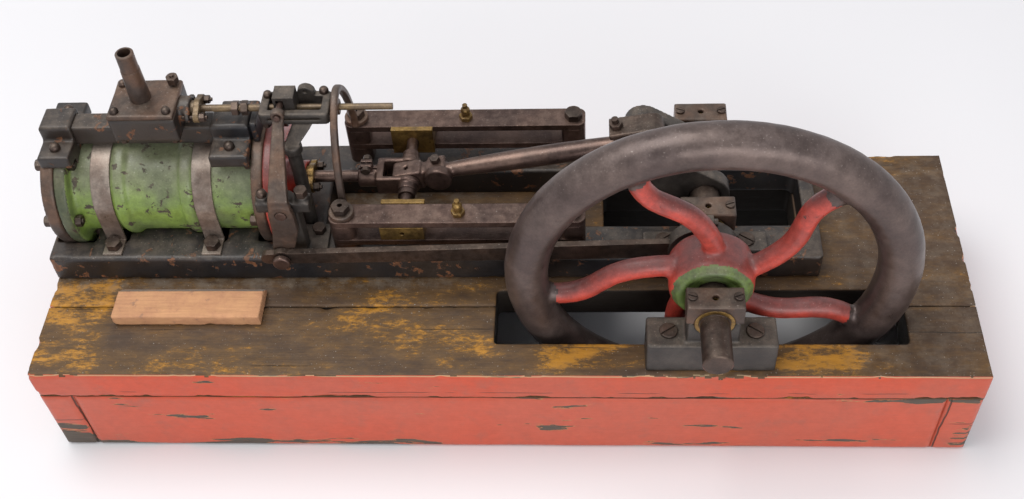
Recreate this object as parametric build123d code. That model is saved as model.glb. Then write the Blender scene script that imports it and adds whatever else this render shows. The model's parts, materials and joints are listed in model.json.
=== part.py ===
from build123d import *
import os
from math import acos, atan2, cos, degrees, hypot, radians, sin, sqrt

# Model horizontal steam engine on a hollow wooden base. Millimetres, +Z up.
# Lengths along Y are first given from the base's front face; place() moves every piece so
# that the origin is the middle of the whole object's footprint, on the surface it stands on.

# ---- driving dimensions: wooden base -------------------------------------------------
BASE_LENGTH = 600.0
BASE_WIDTH = 186.0
BASE_HEIGHT = 84.0
BOARD_THICK = 25.0            # the two top boards
PLANK_THICK = 22.0            # the four sides
BOARD_JOINT = 54.0            # joint between the top boards, from the front
SLOT_X = (-4.0, 254.0)        # slot for the flywheel
SLOT_Y = (25.0, 67.0)
PIT_X = (66.0, 194.0)         # opening under the crank
PIT_Y = (101.0, 156.0)

# ---- driving dimensions: engine ------------------------------------------------------
AXIS_Y = 128.5                # centre line of cylinder, guides and crank
AXIS_Z = 128.5                # height of cylinder and crankshaft axes
CRANK_X = 130.0
CRANK_RADIUS = 50.0
CRANK_ANGLE = 141.5           # at rest, from +X towards +Z
ROD_LENGTH = 156.0
SHAFT_R = 9.5
SHAFT_REACH = 22.5            # shaft end in front of the base
SHAFT_END_R = 9.0             # turned-down free end of the shaft
SHAFT_END_Y = 7.0
PIN_R = 6.5
PIN_PLAY = 2.0                # radial play of the opened crank-pin bearing
BIG_END_OFFSET = (0.64, -0.52)  # X and Z from the crank pin to the bearing's centre at rest
RUNNING = 0.05                # radial play of a running fit
BED_X = (-300.0, 205.0)
BED_Y = (77.0, 180.0)
BED_HEIGHT = 21.5
WHEEL_R = 125.5
RIM_R = 13.5                  # radius of the rim's round section
WHEEL_Y = 45.0
SPOKES = 5
CYLINDER_X = (-284.0, -149.0)
BARREL_R = 34.0
BORE_R = 25.4
FLANGE_R = 43.0
FLANGE_THICK = 8.0
PISTON_ROD_R = 4.0
GUIDE_OFFSET = 42.5           # guide centre from the engine centre line
GUIDE_WIDTH = 16.0
GUIDE_GAP = 12.0
GUIDE_THICK = 4.5
GUIDE_X = (-108.0, 54.0)
VALVE_Y = 126.5
VALVE_Z = 193.5
SPINDLE_R = 2.3
ROCKER_X = -134.5
ROCKER_Z = 152.0
ROCKER_PIN = (-139.5, 116.0)  # X and Z of the pin in the eccentric rod
ROCKER_TOP = (-133.0, 201.0)  # X and Z of the pin in the die block
ECCENTRIC_THROW = 6.0
ECCENTRIC_ANGLE = 235.0
ECCENTRIC_Y = (65.5, 74.5)

# ---- worked-out values ---------------------------------------------------------------
DECK = BASE_HEIGHT
BED_TOP = DECK + BED_HEIGHT
DEPTH_MIDDLE = (BASE_WIDTH - SHAFT_REACH) / 2
THROW_X = CRANK_RADIUS * cos(radians(CRANK_ANGLE))
THROW_Z = CRANK_RADIUS * sin(radians(CRANK_ANGLE))
PIN_X = CRANK_X + THROW_X
PIN_Z = AXIS_Z + THROW_Z
CROSSHEAD_X = PIN_X - sqrt(ROD_LENGTH ** 2 - THROW_Z ** 2)
ROD_RISE = THROW_Z + BIG_END_OFFSET[1]
ROD_RUN = PIN_X + BIG_END_OFFSET[0] - CROSSHEAD_X
ROD_SPAN = hypot(ROD_RUN, ROD_RISE)
ROD_ANGLE = degrees(atan2(ROD_RISE, ROD_RUN))
SHEAVE_X = CRANK_X + ECCENTRIC_THROW * cos(radians(ECCENTRIC_ANGLE))
SHEAVE_Z = AXIS_Z + ECCENTRIC_THROW * sin(radians(ECCENTRIC_ANGLE))
GUIDE_YS = (AXIS_Y - GUIDE_OFFSET, AXIS_Y + GUIDE_OFFSET)
GAP_LOW = AXIS_Z - GUIDE_GAP / 2
GAP_HIGH = AXIS_Z + GUIDE_GAP / 2
GUIDE_LOW = GAP_LOW - GUIDE_THICK
GUIDE_HIGH = GAP_HIGH + GUIDE_THICK


# ---- plain shapes --------------------------------------------------------------------
def block(x, y, z, round_r=0.0, chamfer_r=0.0):
    """A block from three (low, high) pairs, its edges along Z rounded, its top edges chamfered."""
    solid = Pos((x[0] + x[1]) / 2, (y[0] + y[1]) / 2, (z[0] + z[1]) / 2) * Box(
        x[1] - x[0], y[1] - y[0], z[1] - z[0])
    if round_r:
        solid = fillet(solid.edges().filter_by(Axis.Z), round_r)
    if chamfer_r:
        solid = chamfer(solid.faces().sort_by(Axis.Z)[-1].edges(), chamfer_r)
    return solid


def bar_x(x0, x1, y, z, r):
    """A round bar along X."""
    return Pos((x0 + x1) / 2, y, z) * Rot(0, 90, 0) * Cylinder(r, abs(x1 - x0))


def bar_y(x, y0, y1, z, r):
    """A round bar along Y."""
    return Pos(x, (y0 + y1) / 2, z) * Rot(90, 0, 0) * Cylinder(r, abs(y1 - y0))


def bar_z(x, y, z0, z1, r):
    """A round bar along Z."""
    return Pos(x, y, (z0 + z1) / 2) * Cylinder(r, abs(z1 - z0))


def hexagon(flats, length):
    """A hexagonal prism along Z from the origin, its top edges eased."""
    prism = extrude(RegularPolygon(flats / 2, 6, major_radius=False), length)
    ease = Cylinder(flats * 0.56, length, align=(Align.CENTER, Align.CENTER, Align.MIN))
    return prism & chamfer(ease.edges().group_by(Axis.Z)[-1], flats * 0.06)


def hexagon_z(x, y, z, flats, length):
    """A hexagon standing on z and pointing up."""
    return Pos(x, y, z) * hexagon(flats, length)


def hexagon_x(x, y, z, flats, length, turn=0.0):
    """A hexagon starting at x and pointing along +X, or along -X for a negative length."""
    tilt = 90 if length > 0 else -90
    return Pos(x, y, z) * Rot(turn, 0, 0) * Rot(0, tilt, 0) * hexagon(flats, abs(length))


def hexagon_y(x, y, z, flats, length):
    """A hexagon starting at y and pointing along +Y, or along -Y for a negative length."""
    tilt = -90 if length > 0 else 90
    return Pos(x, y, z) * Rot(tilt, 0, 0) * hexagon(flats, abs(length))


def slotted(x, y, z, r, height, slot_turn=0.0):
    """A slotted cheese head standing on z."""
    head = bar_z(x, y, z, z + height, r)
    head = chamfer(head.edges().group_by(Axis.Z)[-1], height * 0.25)
    return head - Pos(x, y, z + height) * Rot(0, 0, slot_turn) * Box(2 * r, r * 0.22, height)


def dome_z(x, y, z, r):
    """A dome-headed nut or screw standing on z."""
    dome = bar_z(x, y, z, z + r * 1.3, r)
    return fillet(dome.edges().group_by(Axis.Z)[-1], r * 0.92)


def prism_y(points, y):
    """An outline in the XZ plane, drawn out between two Y values."""
    face = make_face(Polyline(*[(px, 0, pz) for px, pz in points], close=True))
    return Pos(0, y[0], 0) * extrude(face, y[1] - y[0], dir=(0, 1, 0))


def prism_x(points, x):
    """An outline in the YZ plane, drawn out between two X values."""
    face = make_face(Polyline(*[(0, py, pz) for py, pz in points], close=True))
    return Pos(x[0], 0, 0) * extrude(face, x[1] - x[0], dir=(1, 0, 0))


def tapered_link(a, b, half_a, half_b, y):
    """A flat link between two XZ points, round at both ends, with its own half width at each."""
    run = hypot(b[0] - a[0], b[1] - a[1])
    along = atan2(b[1] - a[1], b[0] - a[0])
    lean = acos((half_a - half_b) / run)
    corners = [
        (a[0] + half_a * cos(along + lean), a[1] + half_a * sin(along + lean)),
        (b[0] + half_b * cos(along + lean), b[1] + half_b * sin(along + lean)),
        (b[0] + half_b * cos(along - lean), b[1] + half_b * sin(along - lean)),
        (a[0] + half_a * cos(along - lean), a[1] + half_a * sin(along - lean)),
    ]
    ends = bar_y(a[0], y[0], y[1], a[1], half_a) + bar_y(b[0], y[0], y[1], b[1], half_b)
    return prism_y(corners, y) + ends


# ---- wooden base ---------------------------------------------------------------------
STRAP_XS = (-256.5, -190.4)
STRAP_BOLT_YS = (87.0, 2 * AXIS_Y - 87.0)
BOLT_R = 3.0
BOLT_TIP = DECK - 18.0
SCREW_TIP = DECK - 15.0
BLOCK_XS = (GUIDE_X[0] + 8.0, GUIDE_X[1] - 8.0)
BEARING_YS = (15.5, AXIS_Y - 41.5, AXIS_Y + 41.5)
BEARING_SCREW_REACH = 26.0
BEARING_SCREW_R = 2.6


def bolts_down():
    """Clearance for the bolts that go down through the bed into the base."""
    spots = [(x, y) for x in STRAP_XS for y in STRAP_BOLT_YS]
    spots += [(x, y) for x in BLOCK_XS for y in GUIDE_YS]
    return [bar_z(x, y, BOLT_TIP, GUIDE_HIGH, BOLT_R) for x, y in spots]


def foot_screw_shanks():
    """Shanks of the screws that hold the three bearing feet."""
    spots = [(CRANK_X + side * BEARING_SCREW_REACH, y) for y in BEARING_YS for side in (-1, 1)]
    return [bar_z(x, y, SCREW_TIP, BED_TOP + 5, BEARING_SCREW_R) for x, y in spots]


def base_top_front():
    board = block((-BASE_LENGTH / 2, BASE_LENGTH / 2), (0, BOARD_JOINT), (DECK - BOARD_THICK, DECK))
    board -= block(SLOT_X, (SLOT_Y[0], BOARD_JOINT), (0, DECK))
    return board - foot_screw_shanks()


def base_top_back():
    board = block((-BASE_LENGTH / 2, BASE_LENGTH / 2), (BOARD_JOINT, BASE_WIDTH),
                  (DECK - BOARD_THICK, DECK))
    board -= block(SLOT_X, (BOARD_JOINT, SLOT_Y[1]), (0, DECK))
    board -= block(PIT_X, PIT_Y, (0, DECK))
    return board - foot_screw_shanks() - bolts_down()


def base_long_planks():
    x = (PLANK_THICK - BASE_LENGTH / 2, BASE_LENGTH / 2 - PLANK_THICK)
    z = (0, DECK - BOARD_THICK)
    return [block(x, (0, PLANK_THICK), z), block(x, (BASE_WIDTH - PLANK_THICK, BASE_WIDTH), z)]


def base_end_planks():
    half = BASE_LENGTH / 2
    z = (0, DECK - BOARD_THICK)
    return [block((-half, PLANK_THICK - half), (0, BASE_WIDTH), z),
            block((half - PLANK_THICK, half), (0, BASE_WIDTH), z)]


def wood_cleat():
    """A raw block in front of the bed, bevelled along its back."""
    outline = [(39, DECK), (39, DECK + 9), (60, DECK + 9), (66, DECK + 3.5), (66, DECK)]
    return prism_x(outline, (-252, -155))


# ---- bed and cylinder ----------------------------------------------------------------
TROUGH_X = (-118.0, 195.0)
TROUGH_HALF = 24.5
RECESS_GAP = 0.4
BOLT_CIRCLE = 38.0
COVER_BOLTS = 6
COVER_BOLT_R = 1.9
COVER_NUT = 7.0
COVER_NUT_THICK = 4.0
REAR_COVER_THICK = 8.7
FRONT_COVER_THICK = 6.0
REAR_FACE = CYLINDER_X[0] - REAR_COVER_THICK
FRONT_FACE = CYLINDER_X[1] + FRONT_COVER_THICK
BOSS_X = -129.0
GLAND_X = (-127.5, -124.0)
BAR_Y = (121.5, 135.5)
BAR_Z = (167.3, 182.0)
PORT_R = 2.2


def bedplate():
    """Cast bed: solid under the cylinder, an open trough under the guides and the crank."""
    bed = block(BED_X, BED_Y, (DECK, BED_TOP), round_r=2.5, chamfer_r=1.2)
    trough_y = (AXIS_Y - TROUGH_HALF, AXIS_Y + TROUGH_HALF)
    bed -= block(TROUGH_X, trough_y, (DECK, BED_TOP), round_r=6)
    end_r = FLANGE_R + RECESS_GAP
    bed -= bar_x(*CYLINDER_X, AXIS_Y, AXIS_Z, BARREL_R)
    rear_reach = REAR_FACE - COVER_NUT_THICK - 1
    bed -= bar_x(rear_reach, CYLINDER_X[0] + FLANGE_THICK + 5, AXIS_Y, AXIS_Z, end_r)
    bed -= bar_x(CYLINDER_X[1] - FLANGE_THICK - 5, FRONT_FACE + 5, AXIS_Y, AXIS_Z, end_r)
    for x in BEAD_XS:
        bed -= bar_x(x - BEAD_HALF, x + BEAD_HALF, AXIS_Y, AXIS_Z, BEAD_R)
    bed -= block((STRAP_XS[0] - 7.5, STRAP_XS[0] + 7.5), (92, 2 * AXIS_Y - 92), (DECK + 5, BED_TOP))
    bed -= block((STRAP_XS[1] - 7.5, STRAP_XS[1] + 7.5), (92, 2 * AXIS_Y - 92), (DECK + 5, BED_TOP))
    return bed - bolts_down() - foot_screw_shanks() - rocker_foot_bolt()


BEAD_XS = (-244.8, -201.2)
BEAD_HALF = 4.2
BEAD_R = 36.6


def cylinder_barrel():
    """Cylinder casting: bored barrel, two end flanges and two raised beads."""
    body = bar_x(*CYLINDER_X, AXIS_Y, AXIS_Z, BARREL_R)
    for x0 in (CYLINDER_X[0], CYLINDER_X[1] - FLANGE_THICK):
        flange = bar_x(x0, x0 + FLANGE_THICK, AXIS_Y, AXIS_Z, FLANGE_R)
        body += fillet(flange.edges().filter_by(GeomType.CIRCLE), 0.8)
    for x in BEAD_XS:
        bead = bar_x(x - BEAD_HALF, x + BEAD_HALF, AXIS_Y, AXIS_Z, BEAD_R)
        body += fillet(bead.edges().filter_by(GeomType.CIRCLE), 2.3)
    body -= bar_x(*CYLINDER_X, AXIS_Y, AXIS_Z, BORE_R)
    for x in PORT_XS:
        body -= bar_z(x, AXIS_Y, AXIS_Z, BAR_Z[0], PORT_R)
    return body - cover_bolt_shanks()


PORT_XS = (-273.3, -161.0)


def cover_bolt_angles():
    return [360.0 * i / COVER_BOLTS for i in range(COVER_BOLTS)]


def on_circle(angle):
    """The Y and Z of a cover bolt."""
    return (AXIS_Y + BOLT_CIRCLE * cos(radians(angle)), AXIS_Z + BOLT_CIRCLE * sin(radians(angle)))


def cover_bolt_shanks():
    reach = COVER_NUT_THICK + 1.0
    spots = [on_circle(a) for a in cover_bolt_angles()]
    shanks = [bar_x(REAR_FACE, CYLINDER_X[0] + FLANGE_THICK + reach, y, z, COVER_BOLT_R)
              for y, z in spots]
    shanks += [bar_x(CYLINDER_X[1] - FLANGE_THICK, FRONT_FACE + reach, y, z, COVER_BOLT_R)
               for y, z in spots]
    return shanks


def cylinder_bolts():
    """Hexagon bolts through each cover and flange, heads and nuts outside them."""
    solids = []
    rear_nut = CYLINDER_X[0] + FLANGE_THICK
    front_back = CYLINDER_X[1] - FLANGE_THICK
    for angle, shank in zip(cover_bolt_angles() * 2, cover_bolt_shanks()):
        y, z = on_circle(angle)
        rear = len(solids) < 2 * COVER_BOLTS
        head_x = REAR_FACE if rear else front_back
        nut_x = rear_nut if rear else FRONT_FACE
        solids.append(shank + hexagon_x(head_x, y, z, COVER_NUT, -COVER_NUT_THICK, turn=angle))
        nut = hexagon_x(nut_x, y, z, COVER_NUT, COVER_NUT_THICK, turn=angle + 15)
        solids.append(nut - bar_x(nut_x, nut_x + COVER_NUT_THICK, y, z, COVER_BOLT_R))
    return solids


def rear_cover():
    disc = bar_x(REAR_FACE, CYLINDER_X[0], AXIS_Y, AXIS_Z, FLANGE_R)
    disc = fillet(disc.edges().filter_by(GeomType.CIRCLE), 1.0)
    disc += bar_x(CYLINDER_X[0], CYLINDER_X[0] + 4, AXIS_Y, AXIS_Z, BORE_R)
    return disc - cover_bolt_shanks()


def oval_x(x, y, z, half_long, half_short):
    """An oval plate facing along X, its long way across the engine."""
    r = half_short * 0.62
    ends = [bar_x(x[0], x[1], y + side * (half_long - r), z, r) for side in (-1, 1)]
    middle = bar_x(x[0], x[1], y, z, half_short)
    slope = [(y - half_long + r, z - r), (y, z - half_short), (y + half_long - r, z - r),
             (y + half_long - r, z + r), (y, z + half_short), (y - half_long + r, z + r)]
    return prism_x(slope, x) + ends + middle


STUD_REACH = 9.6
BOX_R = 7.0


def front_cover():
    """Front cover with its stuffing box; the piston rod runs through."""
    disc = bar_x(CYLINDER_X[1], FRONT_FACE, AXIS_Y, AXIS_Z, FLANGE_R)
    disc = fillet(disc.edges().filter_by(GeomType.CIRCLE), 0.8)
    disc += bar_x(CYLINDER_X[1] - 4, CYLINDER_X[1], AXIS_Y, AXIS_Z, BORE_R)
    disc += bar_x(FRONT_FACE, BOSS_X, AXIS_Y, AXIS_Z, BOX_R + 3.5)
    disc += oval_x((BOSS_X - 4, BOSS_X), AXIS_Y, AXIS_Z, 13, 8.5)
    disc -= bar_x(CYLINDER_X[1] - 4, BOSS_X, AXIS_Y, AXIS_Z, PISTON_ROD_R + RUNNING)
    disc -= bar_x(FRONT_FACE, BOSS_X, AXIS_Y, AXIS_Z, BOX_R)
    return disc - cover_bolt_shanks() - gland_stud_shanks()


def piston_gland():
    """Brass gland: an oval flange and a neck that presses on the packing."""
    gland = oval_x(GLAND_X, AXIS_Y, AXIS_Z, 13, 8.5)
    gland += bar_x(BOSS_X - 6, GLAND_X[0], AXIS_Y, AXIS_Z, BOX_R)
    gland -= bar_x(BOSS_X - 6, GLAND_X[1], AXIS_Y, AXIS_Z, PISTON_ROD_R + RUNNING)
    return gland - gland_stud_shanks()


CHEST_X = (-239.0, -197.5)
CHEST_Y = (109.0, 142.5)
CHEST_Z = (182.0, 200.0)
CHEST_FLOOR = 186.0
CHEST_PORT_REACH = 9.0
CHEST_COVER_THICK = 3.5
CHEST_BOSS_X = -190.5
VALVE_GLAND_X = (-188.0, -184.5)
VALVE_BOX_R = 5.0
VALVE_STUD_REACH = 8.0
CHEST_BOLT_INSET = 4.5
CHEST_BOLT_R = 1.5


def gland_stud_shanks():
    studs = [bar_x(BOSS_X - 4, GLAND_X[1] + 5.5, AXIS_Y + side * STUD_REACH, AXIS_Z, 1.4)
             for side in (-1, 1)]
    studs += [bar_x(CHEST_BOSS_X - 5, VALVE_GLAND_X[1] + 5, VALVE_Y + side * VALVE_STUD_REACH,
                    VALVE_Z, 1.2) for side in (-1, 1)]
    return studs


def gland_studs():
    """Studs and nuts of the piston gland and of the valve gland."""
    solids = []
    nuts = [(GLAND_X[1], AXIS_Y, AXIS_Z, STUD_REACH, 5.6, 4.0, 1.4),
            (VALVE_GLAND_X[1], VALVE_Y, VALVE_Z, VALVE_STUD_REACH, 5.0, 3.5, 1.2)]
    for stud in gland_stud_shanks():
        solids.append(stud)
    for x, y, z, reach, flats, thick, r in nuts:
        for side in (-1, 1):
            nut = hexagon_x(x, y + side * reach, z, flats, thick)
            solids.append(nut - bar_x(x, x + thick, y + side * reach, z, r))
    return solids


STRAP_WIDTH = 12.6
STRAP_THICK = 1.6


def cylinder_straps():
    """Two bent steel straps that hold the barrel down on the bed."""
    straps = []
    inner, outer = BARREL_R, BARREL_R + STRAP_THICK
    foot_y = (STRAP_BOLT_YS[0] - 7, AXIS_Y - inner)
    for x in STRAP_XS:
        span = (x - STRAP_WIDTH / 2, x + STRAP_WIDTH / 2)
        band = bar_x(*span, AXIS_Y, AXIS_Z, outer) - bar_x(*span, AXIS_Y, AXIS_Z, inner)
        band &= block(span, (AXIS_Y - outer, AXIS_Y + outer), (AXIS_Z, AXIS_Z + outer))
        for side in (-1, 1):
            leg_y = sorted((AXIS_Y + side * inner, AXIS_Y + side * outer))
            band += block(span, leg_y, (BED_TOP, AXIS_Z))
            foot = sorted((AXIS_Y + side * inner, AXIS_Y + side * (AXIS_Y - foot_y[0])))
            band += block(span, foot, (BED_TOP, BED_TOP + STRAP_THICK))
        for y in STRAP_BOLT_YS:
            band -= bar_z(x, y, BED_TOP, BED_TOP + STRAP_THICK, BOLT_R)
        straps.append(band)
    return straps


# ---- steam passage and steam chest ---------------------------------------------------
PASSAGE_X = (-289.0, -151.0)
BRACKET_XS = ((-291.0, -270.5), (-181.0, -156.5))
BRACKET_FOOT_Z = (164.5, 174.0)
BRACKET_TOP = 185.0
BRACKET_LEG = 2.6
BRACKET_FOOT_OUT = 16.0
BRACKET_SCREW_TIP = 168.9


def flange_room():
    """Room for the two pairs of cylinder flange and cover."""
    return [bar_x(REAR_FACE, CYLINDER_X[0] + FLANGE_THICK, AXIS_Y, AXIS_Z, FLANGE_R),
            bar_x(CYLINDER_X[1] - FLANGE_THICK, FRONT_FACE, AXIS_Y, AXIS_Z, FLANGE_R)]


def cover_nut_room():
    """Room for the cover bolts' nuts and heads on the inner sides of the two flanges."""
    reach = COVER_NUT_THICK + 0.3
    rear = CYLINDER_X[0] + FLANGE_THICK
    front = CYLINDER_X[1] - FLANGE_THICK
    spots = [on_circle(angle) for angle in cover_bolt_angles()]
    return [bar_x(*span, y, z, COVER_NUT * 0.62)
            for span in ((rear, rear + reach), (front - reach, front)) for y, z in spots]


def bracket_screw_spots():
    out = (BAR_Y[0] - BRACKET_LEG - 7.5, BAR_Y[1] + BRACKET_LEG + 7.5)
    return [((x[0] + x[1]) / 2, y) for x in BRACKET_XS for y in out]


def steam_passage_bar():
    """Square bar drilled to lead the steam from the chest to both cylinder ends."""
    bar = block(PASSAGE_X, BAR_Y, BAR_Z)
    bar += block((PASSAGE_X[1] - 4, PASSAGE_X[1]), (BAR_Y[0] - 2.5, BAR_Y[1] + 2.5), (BAR_Z[0], 186.5))
    bar = chamfer(bar.edges().filter_by(Axis.X), 0.5)
    bar -= flange_room()
    middle = (BAR_Z[0] + BAR_Z[1]) / 2
    chest_mid = (CHEST_X[0] + CHEST_X[1]) / 2
    for port_x, side in zip(PORT_XS, (-1, 1)):
        chest_x = chest_mid + side * CHEST_PORT_REACH
        bar -= bar_x(port_x, chest_x, AXIS_Y, middle, PORT_R)
        bar -= bar_z(port_x, AXIS_Y, BAR_Z[0], middle, PORT_R)
        bar -= bar_z(chest_x, AXIS_Y, middle, BAR_Z[1], PORT_R)
    return bar


def passage_brackets():
    """Saddle blocks over the bar, with a foot on each side and a port block on the barrel."""
    brackets = []
    for x in BRACKET_XS:
        leg_y = (BAR_Y[0] - BRACKET_LEG, BAR_Y[1] + BRACKET_LEG)
        foot_y = (leg_y[0] - BRACKET_FOOT_OUT, leg_y[1] + BRACKET_FOOT_OUT)
        body = block(x, leg_y, (BRACKET_FOOT_Z[0], BRACKET_TOP), chamfer_r=1.5)
        body += block(x, foot_y, BRACKET_FOOT_Z, chamfer_r=0.8)
        body += block(x, (AXIS_Y - 16, AXIS_Y + 16), (AXIS_Z + 20, BRACKET_FOOT_Z[0]))
        body -= block(x, BAR_Y, (BAR_Z[0], BAR_Z[1]))
        body -= bar_x(x[0], x[1], AXIS_Y, AXIS_Z, BARREL_R)
        body -= flange_room() + cover_nut_room()
        for port_x in PORT_XS:
            body -= bar_z(port_x, AXIS_Y, AXIS_Z, BAR_Z[0], PORT_R)
        for spot_x, spot_y in bracket_screw_spots():
            body -= bar_z(spot_x, spot_y, 160, BRACKET_FOOT_Z[1], 2.0)
        brackets.append(body)
    return brackets


def bracket_screws():
    """Round-headed screws in the feet of the saddle blocks."""
    screws = []
    for x, y in bracket_screw_spots():
        shank = bar_z(x, y, BRACKET_SCREW_TIP, BRACKET_FOOT_Z[1], 2.0)
        screws.append(shank + dome_z(x, y, BRACKET_FOOT_Z[1], 3.4))
    return screws


def steam_chest():
    """Open box on the bar, with ports in its floor and a stuffing box for the valve spindle."""
    chest = block(CHEST_X, CHEST_Y, CHEST_Z, round_r=1.2)
    chest -= block((CHEST_X[0] + 8, CHEST_X[1] - 8), (CHEST_Y[0] + 8, CHEST_Y[1] - 8),
                   (CHEST_FLOOR, CHEST_Z[1]))
    middle = (CHEST_X[0] + CHEST_X[1]) / 2
    for side in (-1, 1):
        chest -= bar_z(middle + side * CHEST_PORT_REACH, AXIS_Y, CHEST_Z[0], CHEST_FLOOR, PORT_R)
    chest += bar_x(CHEST_X[1], CHEST_BOSS_X, VALVE_Y, VALVE_Z, 8.0)
    chest += oval_x((CHEST_BOSS_X - 3, CHEST_BOSS_X), VALVE_Y, VALVE_Z, 11, 6.5)
    chest &= block((-400, 400), (0, 400), (CHEST_Z[0], CHEST_Z[1] + 2))
    chest -= bar_x(CHEST_X[1] - 8, CHEST_BOSS_X, VALVE_Y, VALVE_Z, SPINDLE_R + RUNNING)
    chest -= bar_x(CHEST_BOSS_X - 5, CHEST_BOSS_X, VALVE_Y, VALVE_Z, VALVE_BOX_R)
    return chest - gland_stud_shanks() - chest_bolt_shanks()


def chest_corners():
    xs = (CHEST_X[0] + CHEST_BOLT_INSET, CHEST_X[1] - CHEST_BOLT_INSET)
    ys = (CHEST_Y[0] + CHEST_BOLT_INSET, CHEST_Y[1] - CHEST_BOLT_INSET)
    return [(x, y) for x in xs for y in ys]


def chest_bolt_shanks():
    return [bar_z(x, y, CHEST_Z[0] - 4.5, CHEST_Z[1] + CHEST_COVER_THICK, CHEST_BOLT_R)
            for x, y in chest_corners()]


def chest_cover():
    plate = block(CHEST_X, CHEST_Y, (CHEST_Z[1], CHEST_Z[1] + CHEST_COVER_THICK), chamfer_r=0.8)
    plate -= bar_z(PIPE_X, PIPE_Y, CHEST_Z[1], CHEST_Z[1] + CHEST_COVER_THICK, PIPE_BORE_R)
    return plate - chest_bolt_shanks()


def chest_bolts():
    """Cover bolts; the one at the back towards the crank is a long stud with its nut."""
    solids = []
    top = CHEST_Z[1] + CHEST_COVER_THICK
    tall = (CHEST_X[1] - CHEST_BOLT_INSET, CHEST_Y[1] - CHEST_BOLT_INSET)
    for (x, y), shank in zip(chest_corners(), chest_bolt_shanks()):
        if (x, y) == tall:
            stud = shank + bar_z(x, y, top, top + 8, CHEST_BOLT_R)
            solids.append(stud + hexagon_z(x, y, top + 2, 7, 4.5))
        else:
            solids.append(shank + dome_z(x, y, top, 2.8))
        nut = hexagon_z(x, y, CHEST_Z[0] - 3.6, 4.8, 3.6)
        solids.append(nut - bar_z(x, y, CHEST_Z[0] - 4, CHEST_Z[0], CHEST_BOLT_R))
    return solids


PIPE_X = -220.8
PIPE_Y = 126.5
PIPE_BORE_R = 4.0
PIPE_JOINT_Z = 227.0
PIPE_TOP_Z = 240.0


def inlet_pipe():
    """Tapering steel pipe with a shorter grey nipple on top, both bored through."""
    base_z = CHEST_Z[1] + CHEST_COVER_THICK
    height = PIPE_JOINT_Z - base_z
    lower = Pos(PIPE_X, PIPE_Y, base_z + height / 2) * Cone(6.6, 5.9, height)
    upper = bar_z(PIPE_X, PIPE_Y, PIPE_JOINT_Z, PIPE_TOP_Z, 5.6)
    upper = chamfer(upper.edges().group_by(Axis.Z)[-1], 0.6)
    bore = bar_z(PIPE_X, PIPE_Y, base_z, PIPE_TOP_Z, PIPE_BORE_R)
    return [lower - bore, upper - bore]


def valve_gland():
    gland = oval_x(VALVE_GLAND_X, VALVE_Y, VALVE_Z, 11, 6.5)
    gland += bar_x(CHEST_BOSS_X - 3, VALVE_GLAND_X[0], VALVE_Y, VALVE_Z, VALVE_BOX_R)
    gland -= bar_x(CHEST_BOSS_X - 3, VALVE_GLAND_X[1], VALVE_Y, VALVE_Z, SPINDLE_R + RUNNING)
    return gland - gland_stud_shanks()


# ---- crosshead guides ----------------------------------------------------------------
def guide_bar(y, z):
    bar = block(GUIDE_X, (y - GUIDE_WIDTH / 2, y + GUIDE_WIDTH / 2), z, round_r=5.0)
    for x in BLOCK_XS:
        bar -= bar_z(x, y, z[0], z[1], BOLT_R)
    return bar


def guide_bars_upper():
    bars = [guide_bar(y, (GAP_HIGH, GUIDE_HIGH)) for y in GUIDE_YS]
    return [bar - bar_z(OIL_X, y, GAP_HIGH, GUIDE_HIGH, 1.5) for bar, y in zip(bars, GUIDE_YS)]


def guide_bars_lower():
    return [guide_bar(y, (GUIDE_LOW, GAP_LOW)) for y in GUIDE_YS]


def guide_blocks():
    """Distance blocks between the bars and feet under them, at each end of both guides."""
    solids = []
    for x in BLOCK_XS:
        for y in GUIDE_YS:
            for z in ((BED_TOP, GUIDE_LOW), (GAP_LOW, GAP_HIGH)):
                piece = block((x - 8, x + 8), (y - 8, y + 8), z, round_r=5.0)
                solids.append(piece - bar_z(x, y, z[0], z[1], BOLT_R))
    return solids


EYE_THICK = 3.4
OIL_X = -26.0


def bed_bolts():
    """Hexagon bolts of the cylinder straps and of the guides, down through the bed."""
    solids = []
    for x in STRAP_XS:
        for y in STRAP_BOLT_YS:
            z = BED_TOP + STRAP_THICK
            solids.append(bar_z(x, y, BOLT_TIP, z, BOLT_R) + hexagon_z(x, y, z, 9.5, 5))
    for x in BLOCK_XS:
        z = GUIDE_HIGH + (EYE_THICK if x == BLOCK_XS[0] else 0)
        for y in GUIDE_YS:
            bolt = bar_z(x, y, BOLT_TIP, z, BOLT_R) + hexagon_z(x, y, z, 10.5, 5)
            if x == BLOCK_XS[0]:
                bolt -= bar_z(x, y, z + 1, z + 5, 1.6)
            solids.append(bolt)
    return solids


def oil_cups():
    """A small oil cup on each upper guide bar."""
    cups = []
    for y in GUIDE_YS:
        cup = bar_z(OIL_X, y, GAP_HIGH + 1, GUIDE_HIGH, 1.5) + hexagon_z(OIL_X, y, GUIDE_HIGH, 8, 3)
        cup += bar_z(OIL_X, y, GUIDE_HIGH + 3, GUIDE_HIGH + 7, 2.9)
        cup += Pos(OIL_X, y, GUIDE_HIGH + 7) * Sphere(3.2)
        cup += bar_z(OIL_X, y, GUIDE_HIGH + 7, GUIDE_HIGH + 12, 1.7)
        cups.append(cup)
    return cups


# ---- valve gear on the bed -----------------------------------------------------------
FRAME_X = (-147.0, -103.0)
FRAME_Y = (115.5, 137.5)
FRAME_Z = (189.0, 197.5)
FRAME_GAP_X = (-141.5, -108.5)
FRAME_GAP_Y = (120.5, 132.5)
STANDARD_X = -128.0
STANDARD_Y = 109.5
COLLAR_Z = (172.0, 178.5)
ARCH_X = -100.0
ARCH_R = 2.3
ARCH_FOOT_R = 8.0


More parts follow.
